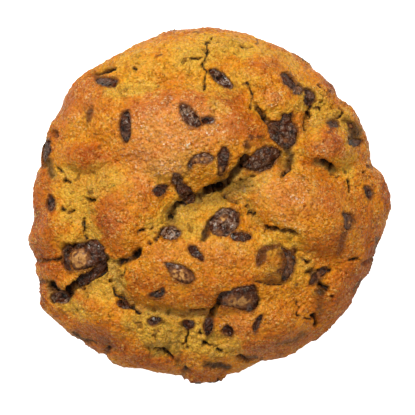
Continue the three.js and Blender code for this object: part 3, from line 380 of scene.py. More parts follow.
FILM_PATCHES = [  # places on the chips where a thin film of dough stayed on the chocolate
    (20.1, 16.8, 1.6, 1.1, -40, 0.5), (3.4, -3.6, 1.5, 1, 40, 1), (2.2, -7.2, 2.2, 0.8, -10, 0.6),
    (10.6, 13.4, 1.6, 1.2, 20, 1), (13.6, 13, 1.5, 0.7, 20, 0.5), (7.4, -25.4, 4.2, 2, 5, 1.1),
    (-2.2, 11.8, 3, 1.3, 8, 0.8), (3, 8.6, 1.2, 1.8, 0, 0.8), (-7.4, -18.4, 4.2, 2, -25, 1),
    (23.2, 30.2, 1.4, 1.2, 0, 0.7), (36.4, -4.4, 1.6, 2.4, 10, 0.6), (37.4, 21, 1.2, 0.9, 0, 0.6),
    (-34.2, -14.2, 2.7, 2.6, 0, 1.5), (20.6, -16, 1.4, 3.4, -10, 0.55), (28.4, -19, 1.6, 2.4, -40, 0.6),
    (-9.4, -8.2, 2.2, 0.8, 20, 0.4), (-32.4, -18.8, 2, 0.8, 30, 0.2), (38.8, 16.8, 1.2, 0.8, 0, 0.4),
    (5.8, -5.4, 0.9, 1.4, 0, 0.3), (26.4, 28.6, 0.9, 1.2, 0, 0.4),
]

# ---- How fine the surfaces are -------------------------------------------------------------------
TOP_CELLS = 300     # along each side of the grid over the top and the side
BASE_CELLS = 75     # the same for the grid over the base: a quarter of TOP_CELLS
WAIST_AT = 0.86     # the share of the disc, from its middle, that is the crust over the waist
CHIP_ROUND = 48     # points round a chip
CHIP_RINGS = 22     # rings of a side or base chip, from its top to its bottom
BODY_RINGS = 14     # rings of a top chip's upper face, from its middle to its edge
CHIP_SPREAD = 1.08  # how much wider than its solid a chip has melted, under the dough round it


# Large numbers that shuffle a lattice corner's place and the seed into a number that looks random.
CORNER_SHUFFLE = np.array([73856093, 19349663, 83492791])
SEED_SHUFFLE = 265443576
LAST_SHUFFLE = 1274126177
SEED_SHIFT = 17.31      # how far one seed's lattice lies from the next one's, in cells
NOISE_STRENGTH = 1.7    # brings the noise to a range of about -1 to 1


# ---- Noise ---------------------------------------------------------------------------------------
def lattice_noise(points, size, seed):
    """Smooth noise from about -1 to 1. Each corner of a cubic lattice of the given size has a random slope,
    and a point takes the height that the slopes of its eight corners give it, faded from corner to
    corner."""
    spot = points / size + seed * SEED_SHIFT
    cell = np.floor(spot).astype(np.int64)
    part = spot - cell
    fade = part ** 3 * (part * (part * 6 - 15) + 10)
    total = np.zeros(len(points))
    for corner in product((0, 1), repeat=3):
        at = cell + np.array(corner)
        mixed = np.bitwise_xor.reduce(at * CORNER_SHUFFLE, axis=1) ^ (seed * SEED_SHUFFLE)
        mixed = ((mixed ^ (mixed >> 13)) * LAST_SHUFFLE) & 0x7FFFFFFF
        mixed = mixed ^ (mixed >> 15)
        around = (mixed & 0xFFFF) / 0xFFFF * 2 * np.pi
        up = ((mixed >> 12) & 0x7FFF) / 0x7FFF * 2 - 1
        level = np.sqrt(1 - up ** 2)
        away = part - np.array(corner)
        slope = level * np.cos(around) * away[:, 0] + level * np.sin(around) * away[:, 1] + up * away[:, 2]
        weight = np.where(np.array(corner), fade, 1 - fade).prod(axis=1)
        total += slope * weight
    return total * NOISE_STRENGTH


def layered_noise(points, size, seed, layers):
    """Lattice noise in layers, each half the size and half the strength of the one before it."""
    return sum(lattice_noise(points, size / 2 ** k, seed + k) / 2 ** k for k in range(layers))


def ease(low, high, value):
    """0 below low, 1 above high, and an S-curve between them."""
    part = np.clip((value - low) / (high - low), 0, 1)
    return part * part * (3 - 2 * part)


def bell(value):
    """1 where the value is nought, falling off on both sides as the exponential of minus its square."""
    return np.exp(-value ** 2)


# ---- The cookie's outer shape --------------------------------------------------------------------
def layout_radius(angle):
    """The rim's radius in the layout: a circle with a bell-shaped bulge or notch for each row of
    RIM_BULGES."""
    radius = np.full_like(angle, LAYOUT_RADIUS)
    for direction, half_width, height in RIM_BULGES:
        turn = angle - math.radians(direction)
        away = np.arctan2(np.sin(turn), np.cos(turn)) / math.radians(half_width)
        radius += height * bell(away)
    return radius


def layout_fit():
    """The shift and the scale that bring the layout's outline to the cookie's real width and depth."""
    angle = np.linspace(0, 2 * np.pi, 720, endpoint=False)
    radius = layout_radius(angle)
    outline = np.stack([radius * np.cos(angle), radius * np.sin(angle)], axis=1)
    low, high = outline.min(axis=0), outline.max(axis=0)
    return (low + high) / 2, np.array([COOKIE_WIDTH, COOKIE_DEPTH]) / (high - low)


RIM_MIDDLE, LAYOUT_SCALE = layout_fit()


def ellipse_share(x, y, row):
    """How far a place is from the middle of an ellipse, as a share squared of the ellipse's own radius."""
    centre_x, centre_y, half_length, half_width, turn = row[:5]
    cos, sin = math.cos(math.radians(turn)), math.sin(math.radians(turn))
    along = (x - centre_x) * cos + (y - centre_y) * sin
    across = (y - centre_y) * cos - (x - centre_x) * sin
    return (along / half_length) ** 2 + (across / half_width) ** 2


def patches(x, y, rows):
    """The sum of soft elliptical patches, each a bell that is full in the middle and gone past its edge."""
    total = np.zeros_like(x)
    for row in rows:
        total += row[5] * np.exp(-ellipse_share(x, y, row) ** 1.5)
    return total


def distance_to_path(x, y, points):
    """The distance from each place to the nearest point of a path of straight stretches."""
    nearest = np.full_like(x, np.inf)
    for (ax, ay), (bx, by) in zip(points[:-1], points[1:]):
        span = (bx - ax) ** 2 + (by - ay) ** 2
        along = np.clip(((x - ax) * (bx - ax) + (y - ay) * (by - ay)) / span, 0, 1)
        nearest = np.minimum(nearest, np.hypot(x - ax - along * (bx - ax), y - ay - along * (by - ay)))
    return nearest


def crust_height(x, y):
    """The crust's height over the table: the soft maximum of the dome and all the knobs, with the swellings
    added and the furrows taken off, brought down to the waist at the rim."""
    share = np.minimum(1, np.hypot(x, y) / layout_radius(np.arctan2(y, x)))
    total = np.exp(KNOB_BLEND * (DOME_TOP - DOME_DROP * share ** DOME_POWER - LAYOUT_HEIGHT))
    for row in KNOBS:
        height = row[5] - row[6] * ellipse_share(x, y, row) ** KNOB_FULLNESS
        total += np.exp(KNOB_BLEND * (height - LAYOUT_HEIGHT))
    height = LAYOUT_HEIGHT + np.log(total) / KNOB_BLEND + patches(x, y, SWELLINGS)
    flat = np.stack([x, y, np.zeros_like(x)], axis=1)
    stray_x = x + FURROW_STRAY * lattice_noise(flat, FURROW_STRAY_SIZE, 91)
    stray_y = y + FURROW_STRAY * lattice_noise(flat, FURROW_STRAY_SIZE, 92)
    for half_width, depth, points in FURROWS:
        height -= depth * bell(distance_to_path(stray_x, stray_y, points) / half_width)
    rise = COOKIE_HEIGHT / LAYOUT_HEIGHT
    waist = WAIST_HEIGHT / rise
    return rise * (waist + (height - waist) * np.sqrt(1 - share ** SHOULDER_POWER))


def bent_grid(cells):
    """A square grid bent into a disc: how far each point is from the middle, 1 at the edge, and in what
    direction. Each of its two coordinates is shortened by the square root of one less half the other one's
    square."""
    line = np.linspace(-1, 1, cells + 1)
    u, v = [side.ravel() for side in np.meshgrid(line, line)]
    p, q = u * np.sqrt(1 - v * v / 2), v * np.sqrt(1 - u * u / 2)
    return np.hypot(p, q), np.arctan2(q, p)


def crust_grid():
    """The top and side as one square grid, bent into a disc. The inner part of the disc is the crust, and
    its outer part is the side below the waist, a quarter of an ellipse down to the foot. Returns the points
    in mm and each point's place in the layout."""
    step, angle = bent_grid(TOP_CELLS)
    rim = layout_radius(angle)
    inner = np.minimum(1, step / WAIST_AT)
    radius = rim * ((1 + RIM_CROWDING) * inner - RIM_CROWDING * inner ** 6)
    x, y = radius * np.cos(angle), radius * np.sin(angle)
    top = crust_height(x, y)
    fall = np.clip((step - WAIST_AT) / (1 - WAIST_AT), 0, 1) * np.pi / 2
    place = (np.stack([x, y], axis=1) - RIM_MIDDLE) * LAYOUT_SCALE
    inset = 1 - FOOT_INSET * (1 - np.cos(fall)) / np.maximum(np.hypot(*place.T), 1)
    side = WAIST_HEIGHT * (1 - np.sin(fall))
    points = np.column_stack([place * inset[:, None], np.where(step <= WAIST_AT, top, side)])
    return points, np.stack([x, y], axis=1), fall / (np.pi / 2)


def grid_quads(cells):
    """The faces of a square grid of points in rows, counter-clockwise seen from above."""
    corner = (np.arange(cells)[:, None] * (cells + 1) + np.arange(cells)[None, :]).ravel()
    return np.stack([corner, corner + 1, corner + cells + 2, corner + cells + 1], axis=1)


def boundary_loop(cells):
    """The numbers of a square grid's edge points, counter-clockwise seen from above."""
    side = cells + 1
    run = np.arange(cells)
    return np.concatenate([run, run * side + cells, cells * side + cells - run, (cells - run) * side])


def surface_normals(points, quads):
    """Each point's normal: the sum of its faces' normals, each from the cross product of the face's
    diagonals."""
    across = np.cross(points[quads[:, 2]] - points[quads[:, 0]], points[quads[:, 3]] - points[quads[:, 1]])
    normals = np.zeros_like(points)
    for k in range(4):
        for axis in range(3):
            normals[:, axis] += np.bincount(quads[:, k], across[:, axis], len(points))
    return normals / np.maximum(np.linalg.norm(normals, axis=1), 1e-12)[:, None]


# ---- The chips' places, read from the frame ------------------------------------------------------
def node_points(name):
    """A CAD node's vertices in millimetres."""
    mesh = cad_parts[name].data
    flat = np.empty(len(mesh.vertices) * 3)
    mesh.vertices.foreach_get("co", flat)
    return flat.reshape(-1, 3) / MM


def chip_place(name, shell, normals):
    """A chip's middle, its three directions (along, across, out) and its half-sizes. Out is the crust's
    normal there, and along is the direction in the crust in which the chip's solid is longest."""
    cloud = node_points(name)
    middle = (cloud.min(axis=0) + cloud.max(axis=0)) / 2
    near = bell(np.linalg.norm(shell - middle, axis=1) / NEAR_CHIP)
    out = (normals * near[:, None]).sum(axis=0)
    if name.startswith("base"):
        out = np.array([0.0, 0.0, -1.0])
    out /= np.linalg.norm(out)
    flat = cloud - middle
    flat = flat - np.outer(flat @ out, out)
    along = np.linalg.eigh(flat.T @ flat)[1][:, 2]
    along -= (along @ out) * out
    along /= np.linalg.norm(along)
    across = np.cross(out, along)
    half = []
    for axis in (along, across, out):
        reach = (cloud - middle) @ axis
        half.append((reach.max() - reach.min()) / 2)
    return {"name": name, "middle": middle, "axes": np.stack([along, across, out]), "half": np.array(half)}


CHIP_NAMES = sorted(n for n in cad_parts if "chip" in n)
NEAR_CHIP = 3.5         # how wide a part of the crust gives a chip its direction
CRUST_LEVEL = 0.5       # how far the crust lies below the top of a chip
BED_DEPTH = 1.4         # how far the crust sinks under a chip of the side
BED_REACH = 4.5         # how far off the crust can be and still be moved
LIP_HEIGHT = 0.35       # how far the dough swells up round a chip
BODY_PAST = 0.9         # how far a top chip goes on past its opening, under the crust
BODY_BELOW = 0.25       # how far its face lies below the crust at the opening's edge
BODY_DIVE = 1.7         # how much lower it lies under the crust
BELLY_TOP = 2.4         # where its lower face starts, under the crust
BELLY_DEPTH = 1.4
OPENING_DEPTH = 1.9     # how far the crust sinks inside an opening
OPENING_LIP = 0.14      # how far it swells up round one


def bed_chip(points, chip, grain):
    """Moves the crust round one chip. Under the chip it sinks, at the chip's edge it swells to a low lip,
    and past one and a half times the chip's size it is as it was."""
    local = (points - chip["middle"]) @ chip["axes"].T
    along, across, out = local.T
    reach = np.hypot(along / chip["half"][0], across / chip["half"][1]) * (1 + 0.36 * grain)
    near = (reach < 1.7) & (np.abs(out - chip["half"][2]) < BED_REACH)
    reach, out = reach[near], out[near]
    level = chip["half"][2] - CRUST_LEVEL
    shape = LIP_HEIGHT * bell((reach - 1.08) / 0.15) - BED_DEPTH * (1 - ease(0.76, 0.98, reach))
    hold = 1 - ease(0.95, 1.6, reach)
    move = (level + shape - out) * hold + shape * (1 - hold)
    points[near] += np.outer(move, chip["axes"][2])
    stain = np.zeros(len(points))
    stain[near] = bell(np.maximum(reach - 0.95, 0) / 0.3)
    return stain


def rounded_outline(points):
    """A closed outline with its corners cut off twice, a quarter of the way along each side."""
    corners = np.array(points, dtype=float)
    for _ in range(2):
        following = np.roll(corners, -1, axis=0)
        early, late = 0.75 * corners + 0.25 * following, 0.25 * corners + 0.75 * following
        corners = np.stack([early, late], axis=1).reshape(-1, 2)
    return corners


def signed_distance(x, y, outline):
    """The distance to a closed outline, less than zero inside it. Inside is where a line to the right
    crosses the outline an odd number of times."""
    closed = np.concatenate([outline, outline[:1]])
    inside = np.zeros(len(x), bool)
    for (ax, ay), (bx, by) in zip(closed[:-1], closed[1:]):
        if ay != by:
            inside ^= ((ay > y) != (by > y)) & (x < (bx - ax) * (y - ay) / (by - ay) + ax)
    away = distance_to_path(x, y, closed)
    return np.where(inside, -away, away)


def hull_reach(outline, angle):
    """How far the outline's convex hull reaches from its middle in each direction: the furthest, over the
    hull's sides, that a line in the direction goes before it leaves the half-plane of the side."""
    middle = (outline.max(axis=0) + outline.min(axis=0)) / 2
    facing = np.linspace(0, 2 * np.pi, 72, endpoint=False)
    sides = np.stack([np.cos(facing), np.sin(facing)], axis=1)
    support = ((outline - middle) @ sides.T).max(axis=0)
    toward = np.stack([np.cos(angle), np.sin(angle)], axis=1) @ sides.T
    reach = np.where(toward > 0.05, support / np.maximum(toward, 0.05), np.inf)
    return middle, reach.min(axis=1)


def settle(spots, layout, surface, spread=0.7):
    """The surface's mean near each spot of the layout, weighted by a bell of the given width."""
    low, high = spots.min(axis=0) - 3 * spread, spots.max(axis=0) + 3 * spread
    near = np.flatnonzero(((layout > low) & (layout < high)).all(axis=1))
    away = ((spots[:, None, :] - layout[near][None, :, :]) ** 2).sum(axis=2)
    weight = np.exp(-away / spread ** 2) + 1e-12
    return weight @ surface[near] / weight.sum(axis=1, keepdims=True)


def ring_faces(rows):
    """The faces over rings of points, with a fan of triangles at each end. The points are one end's, the
    rings' row by row, and the other end's."""
    here = np.arange(CHIP_ROUND)
    after = (here + 1) % CHIP_ROUND
    ring = 1 + np.arange(rows - 1)[:, None] * CHIP_ROUND
    first, following = ring + here, ring + after
    quads = np.stack([first, first + CHIP_ROUND, following + CHIP_ROUND, following], axis=2).reshape(-1, 4)
    last = 1 + (rows - 1) * CHIP_ROUND
    cap = np.stack([np.zeros(CHIP_ROUND, int), 1 + here, 1 + after], axis=1)
    tail = np.stack([np.full(CHIP_ROUND, last + CHIP_ROUND), last + after, last + here], axis=1)
    return [quads, cap, tail]


def chip_body(number, layout, crust, normals):
    """A chip of the top, under its opening: rings round the middle of the opening's hull, each point the
    settled crust moved along its normal. The upper face stands proud inside the opening and dives under the
    crust round it; the lower face is half a ball. Returns points, faces and the share of dough film at each
    point."""
    proud, points = OPENINGS[number]
    outline = rounded_outline(points)
    turn = np.linspace(0, 2 * np.pi, CHIP_ROUND, endpoint=False)
    middle, reach = hull_reach(outline, turn)
    reach = reach + BODY_PAST
    up = np.linspace(0, 1, BODY_RINGS + 1)[1:]
    down = up[-2::-3]
    step = np.concatenate([up, down])
    directions = np.stack([np.cos(turn), np.sin(turn)], axis=1)
    spots = middle + (step[:, None] * reach[None, :])[:, :, None] * directions
    spots = np.concatenate([[middle], spots.reshape(-1, 2), [middle]])
    share = np.concatenate([[0], np.repeat(step, CHIP_ROUND), [0]])
    lower = np.arange(len(share)) > len(up) * CHIP_ROUND

    place = settle(spots, layout, crust)
    out = settle(spots, layout, normals, 1.6)
    out /= np.linalg.norm(out, axis=1)[:, None]
    depth = signed_distance(*spots.T, outline)
    knobbly = 0.24 * lattice_noise(place, 1.9, 205) + 0.15 * lattice_noise(place, 0.9, 207)
    upper_face = proud * ease(-0.2, 1.1, -depth) + knobbly * ease(-0.4, 0.6, -depth)
    upper_face -= BODY_BELOW + BODY_DIVE * ease(0.1, 1.0, depth)
    lower_face = -BELLY_TOP - BELLY_DEPTH * np.sqrt(np.maximum(1 - share ** 2, 0))
    level = np.where(lower, lower_face, upper_face)
    film = patches(*spots.T, FILM_PATCHES) * (1 + 0.9 * lattice_noise(place, 0.9, 211))
    film = np.maximum(film, 0.6 * ease(-0.2, 0.4, depth + 0.7 * lattice_noise(place, 1.7, 213)))
    return place + out * level[:, None], ring_faces(len(step)), np.clip(film, 0, 1.3)


# ---- The dough -----------------------------------------------------------------------------------
def groove_marks(shell, x, y, fall):
    """Where the cracks, the furrows and the places of painted shade lie: for each, the strongest of the bells
    across its paths, which wander and jag with noise. The thinner cracks are broken. Also gives the cracks'
    depth in millimetres."""
    wander, wander_too = [0.55 * layered_noise(shell, 2.2, seed, 2) for seed in (5, 9)]
    jag, jag_too = [0.3 * lattice_noise(shell, 0.95, seed) for seed in (13, 14)]
    whole = ease(-0.45, 0.1, lattice_noise(shell, 1.9, 15))
    crack, crack_depth, furrow, painted_shade = np.zeros((4, len(shell)))
    for half_width, depth, path in CRACKS:
        away = distance_to_path(x + 0.5 * wander + jag, y + 0.5 * wander_too + jag_too, path) / half_width
        thin = ease(0.7, 0.45, half_width)
        groove = bell(away) * (1 - 0.8 * thin * (1 - whole))
        crack = np.maximum(crack, groove)
        crack_depth = np.maximum(crack_depth, depth * groove)
    on_top = 1 - ease(0.08, 0.4, fall)
    for half_width, depth, path in FURROWS:
        away = distance_to_path(x + 0.5 * wander, y + 0.5 * wander_too, path) / half_width
        furrow = np.maximum(furrow, min(1, depth / 3) * bell(away / 1.2))
    for half_width, strength, path in PAINTED_SHADE_PATHS:
        away = distance_to_path(x + 0.7 * wander + jag, y + 0.7 * wander_too + jag_too, path) / half_width
        painted_shade = np.maximum(painted_shade, strength * bell(away / 1.1))
    return wander, wander_too, crack * on_top, crack_depth * on_top, furrow, painted_shade


def crust_relief(shell, crumb, rough):
    """How far the crust stands out: uneven swelling, crumbs and flakes where it is rough, bumps and fine
    grain, less the pits. Gives the pits' share too."""
    swell = 0.32 * layered_noise(shell, 6.5, 31, 2) + 0.16 * lattice_noise(shell, 3.2, 33)
    crumbs = np.abs(layered_noise(shell, 2.3, 41, 3))
    grain = lattice_noise(shell, 0.9, 51)
    flakes = np.abs(lattice_noise(shell, 1.5, 55)) ** 0.7
    bumps = np.maximum(lattice_noise(shell, 1.25, 57), -0.15)
    relief = swell + rough * (0.75 * crumbs - 0.3) + 0.16 * (flakes - 0.4) * rough
    relief += 0.09 * grain + 0.16 * bumps
    pits = ease(0.42, 0.62, lattice_noise(shell, 1.9, 61))
    pits *= ease(-0.1, 0.3, layered_noise(shell, 9, 63, 2) + 0.5 * crumb)
    return relief - 0.55 * pits * (0.35 + 0.65 * rough), pits


def side_relief(shell, x, y, rim_share, fall):
    """The side below the waist: coarse crumb and short upright splits, which tear as the dough spreads. The
    splits are where a noise stretched upwards passes through nought."""
    side = ease(0.93, 1.0, rim_share)
    angle = np.arctan2(y, x)
    around = np.stack([np.cos(angle) * 48, np.sin(angle) * 48, shell[:, 2] * 0.35], axis=1)
    splits = 1 - ease(0.0, 0.16, np.abs(lattice_noise(around, 5.5, 71)))
    splits *= ease(0.0, 0.5, lattice_noise(shell, 11, 73) + 0.1)
    return -side * (0.8 * splits * 4 * fall * (1 - fall) + 0.12 * np.abs(layered_noise(shell, 1.6, 75, 2)))


def bake_dough():
    """The dough's points, faces and colour attributes. The smooth shell is moved along its normals by, in
    turn, the crust's relief, the cracks and the side's splits, and then bedded round every chip."""
    shell, layout, fall = crust_grid()
    quads = grid_quads(TOP_CELLS)
    normals = surface_normals(shell, quads)
    x, y = layout.T
    rim_share = np.hypot(x, y) / layout_radius(np.arctan2(y, x))
    edge = ease(0.9, 1.0, rim_share)

    wander, wander_too, crack, crack_depth, furrow, painted_shade = groove_marks(shell, x, y, fall)
    strayed = (x + wander * 2, y + wander_too * 2)
    crumb = np.clip(patches(*strayed, CRUMB_PATCHES) + 0.35 * layered_noise(shell, 7, 21, 3) - 0.05, 0, 1)
    brown = patches(*strayed, BROWN_PATCHES)
    painted_glare = patches(*strayed, PAINTED_GLARE_PATCHES)
    cocoa = patches(x + wander * 0.8, y + wander_too * 0.8, COCOA_PATCHES)

    rough = 0.3 + 0.7 * np.maximum(crumb * (1 - 0.6 * edge), 0.9 * furrow)
    move, pits = crust_relief(shell, crumb, rough)
    # the places of painted shade also sink the crust a little
    move -= crack_depth * (1 - 0.5 * edge) + 0.5 * painted_shade
    move += side_relief(shell, x, y, rim_share, fall)
    move *= 1 - 0.75 * ease(0.55, 1.0, fall)
    points = shell + normals * move[:, None]

    chips = [chip_place(name, shell, normals) for name in CHIP_NAMES]
    wobble = layered_noise(shell, 1.8, 81, 2)
    ragged = 0.3 * layered_noise(shell, 1.5, 83, 2)
    stain = np.zeros(len(points))
    crust = points.copy()
    for chip in chips:
        if chip["name"].startswith("rim"):
            stain = np.maximum(stain, bed_chip(points, chip, wobble))
        elif chip["name"].startswith("top"):
            number = int(chip["name"][-2:])
            chip["body"] = chip_body(number, layout, crust, normals)
            away = signed_distance(x, y, rounded_outline(OPENINGS[number][1])) + ragged
            sunk = OPENING_LIP * bell((away - 0.45) / 0.35) - OPENING_DEPTH * (1 - ease(-0.35, 0.2, away))
            points += normals * sunk[:, None]
            stain = np.maximum(stain, bell(np.maximum(away, 0) / 0.75))
    points[:, 2] = np.maximum(points[:, 2], 0.0)
    loop = boundary_loop(TOP_CELLS)
    points[loop, 2] = 0.0

    base_points, base_faces, base_stain = base_surface(points, loop, chips)
    broken = 1.1 * crack * (1 - 0.5 * ease(0.93, 0.99, rim_share))
    # each attribute over the crust and the side, and then over the base
    values = {
        "crumb": (crumb, 0.0),
        "brown": (np.clip(brown + 0.5 * edge * (0.4 + fall), 0, 1.4), 0.9),
        "painted_glare": (np.clip(painted_glare, 0, 1), 0.0),
        "cocoa": (np.clip(np.maximum(cocoa, 0.8 * stain), 0, 1), base_stain),
        # painted shade in the cracks and pits, black at their cores
        "painted_hollow_shade": (np.clip(broken + 0.5 * pits * rough, 0, 1), 0.0),
        "furrow": (np.clip(furrow, 0, 1), 0.0),
        "painted_shade": (painted_shade, 0.0),
        "underside": (fall ** 2, 1.0),
    }
    extra = len(base_points)
    values = {k: np.concatenate([top, np.broadcast_to(base, extra)]) for k, (top, base) in values.items()}
    return np.concatenate([points, base_points]), [quads, *base_faces], values, chips


def base_surface(points, loop, chips):
    """The flat base: a coarser bent grid whose edge shares every fourth point of the foot, with shallow
    hollows where steam lifted it, and a dish over each chip of the base. The points of the foot in between
    are extra corners of the outermost faces."""
    reach, angle = bent_grid(BASE_CELLS)
    foot = points[loop]
    foot_angle = np.unwrap(np.arctan2(foot[:, 1], foot[:, 0]))
    order = np.argsort(np.mod(foot_angle, 2 * np.pi))
    radius = np.interp(np.mod(angle, 2 * np.pi), np.mod(foot_angle, 2 * np.pi)[order],
                       np.hypot(foot[order, 0], foot[order, 1]), period=2 * np.pi)
    away = reach * radius
    flat = np.column_stack([away * np.cos(angle), away * np.sin(angle), np.zeros(len(away))])
    hollows = 0.5 * ease(0.05, 0.7, layered_noise(flat, 9, 101, 2))
    hollows += 0.25 * ease(0.3, 0.7, lattice_noise(flat, 3.2, 103))
    flat[:, 2] = hollows * (1 - ease(0.86, 0.99, reach))
    stain = np.zeros(len(flat))
    for chip in chips:
        if chip["name"].startswith("base"):
            local = (flat - chip["middle"]) @ chip["axes"].T
            near = np.hypot(local[:, 0] / chip["half"][0], local[:, 1] / chip["half"][1])
            flat[:, 2] = flat[:, 2] * ease(1.0, 1.5, near) + 0.9 * (1 - ease(0.7, 1.0, near))
            stain = np.maximum(stain, 0.8 * bell((near - 0.95) / 0.3))

    rim = boundary_loop(BASE_CELLS)
    between = TOP_CELLS // BASE_CELLS
    numbers = np.full((BASE_CELLS + 1) ** 2, -1)
    numbers[rim] = loop[::between]
    inner = np.flatnonzero(numbers < 0)
    numbers[inner] = len(points) + np.arange(len(inner))
    quads = grid_quads(BASE_CELLS)[:, ::-1]
    on_rim = np.isin(quads, rim).sum(axis=1) >= 2
    plain = numbers[quads[~on_rim]]
    where = {int(a): k for k, a in enumerate(rim)}
    many = []
    for quad in quads[on_rim]:
        face = []
        for a, b in zip(quad, np.roll(quad, -1)):
            face.append(int(numbers[a]))
            first, second = where.get(int(a)), where.get(int(b))
            if first is None or second is None:
                continue
            for way in (1, -1):
                if (second - first) * way % len(rim) == 1:
                    face += [int(loop[(first * between + way * k) % len(loop)]) for k in range(1, between)]
        many.append(face)
    return flat[inner], [plain, many], stain[inner]


# ---- Meshes --------------------------------------------------------------------------------------
def new_piece(name, points, faces, material):
    """A piece from points in millimetres and faces, shaded smooth, with its object at the origin."""
    mesh = bpy.data.meshes.new(name)
    lists = []
    for part in faces:
        lists += part.tolist() if isinstance(part, np.ndarray) else part
    mesh.from_pydata((points * MM).tolist(), [], lists)
    mesh.polygons.foreach_set("use_smooth", np.ones(len(mesh.polygons), bool))
    mesh.materials.append(material)
    mesh.update()
    piece = bpy.data.objects.new(name, mesh)
    bpy.context.scene.collection.objects.link(piece)
    return piece


def add_values(piece, values):
    """Stores one number for each point of the mesh under each name, for the material to read."""
    for name, numbers in values.items():
        layer = piece.data.attributes.new(name, "FLOAT", "POINT")
        layer.data.foreach_set("value", np.ascontiguousarray(numbers, dtype=np.float32))


def chip_surface(chip, seed):
    """A softened chip: a ball squashed to the chip's half-sizes, broad on top and rounder below. Its
    outline and its top wander with noise, and the top sags in the middle as melted chocolate does."""
    ring = np.linspace(0, np.pi, CHIP_RINGS + 1)[1:-1]
    turn = np.linspace(0, 2 * np.pi, CHIP_ROUND, endpoint=False)
    ring, turn = [a.ravel() for a in np.meshgrid(ring, turn, indexing="ij")]
    reach = np.sin(ring) ** 0.72
    high = np.cos(ring)
    high = np.where(high > 0, high ** 0.8, high)
    ball = np.column_stack([reach * np.cos(turn), reach * np.sin(turn), high])
    ball = np.concatenate([[[0, 0, 1.0]], ball, [[0, 0, -1.0]]])
    local = ball * chip["half"]
    spot = local + seed * 31.7
    dice = np.random.default_rng(seed)
    size = 1 + 0.12 * lattice_noise(spot, 3.0, 201) + 0.1 * lattice_noise(spot, 1.3, 203)
    around = np.arctan2(ball[:, 1], ball[:, 0])
    for waves in (2, 3, 4, 5):
        size += dice.uniform(0.02, 0.2) / waves ** 0.6 * np.cos(waves * around + dice.uniform(0, 2 * np.pi))
    taper = dice.uniform(-0.4, 0.4)
    bend = dice.uniform(-0.25, 0.25)
    sink = dice.uniform(0.0, 0.5)
    local[:, 1] += bend * chip["half"][1] * (ball[:, 0] ** 2 - 0.4)
    local[:, 1] *= 1 - taper * ball[:, 0]
    local[:, :2] *= CHIP_SPREAD * size[:, None]
    top = ease(-0.2, 0.8, ball[:, 2])
    sag = 0.35 * bell(np.hypot(ball[:, 0], ball[:, 1]) / 0.5)
    ripple = 0.4 * lattice_noise(spot, 2.0, 205) + 0.22 * lattice_noise(spot, 0.9, 207)
    local[:, 2] += top * (ripple - sag + 0.2 - sink)
    if chip["name"].startswith("base"):
        local[:, 2] = np.minimum(local[:, 2], chip["half"][2])
    points = chip["middle"] + local @ chip["axes"]
    if chip["name"].startswith("base"):
        points[:, 2] = np.maximum(points[:, 2], 0.1)
    return points, ring_faces(CHIP_RINGS - 1)


# ---- Materials -----------------------------------------------------------------------------------
def colour(red, green, blue):
    """A linear colour with alpha from the usual 0 to 255 values."""
    shares = [c / 255 for c in (red, green, blue)]
    return (*[s / 12.92 if s <= 0.04045 else ((s + 0.055) / 1.055) ** 2.4 for s in shares], 1.0)


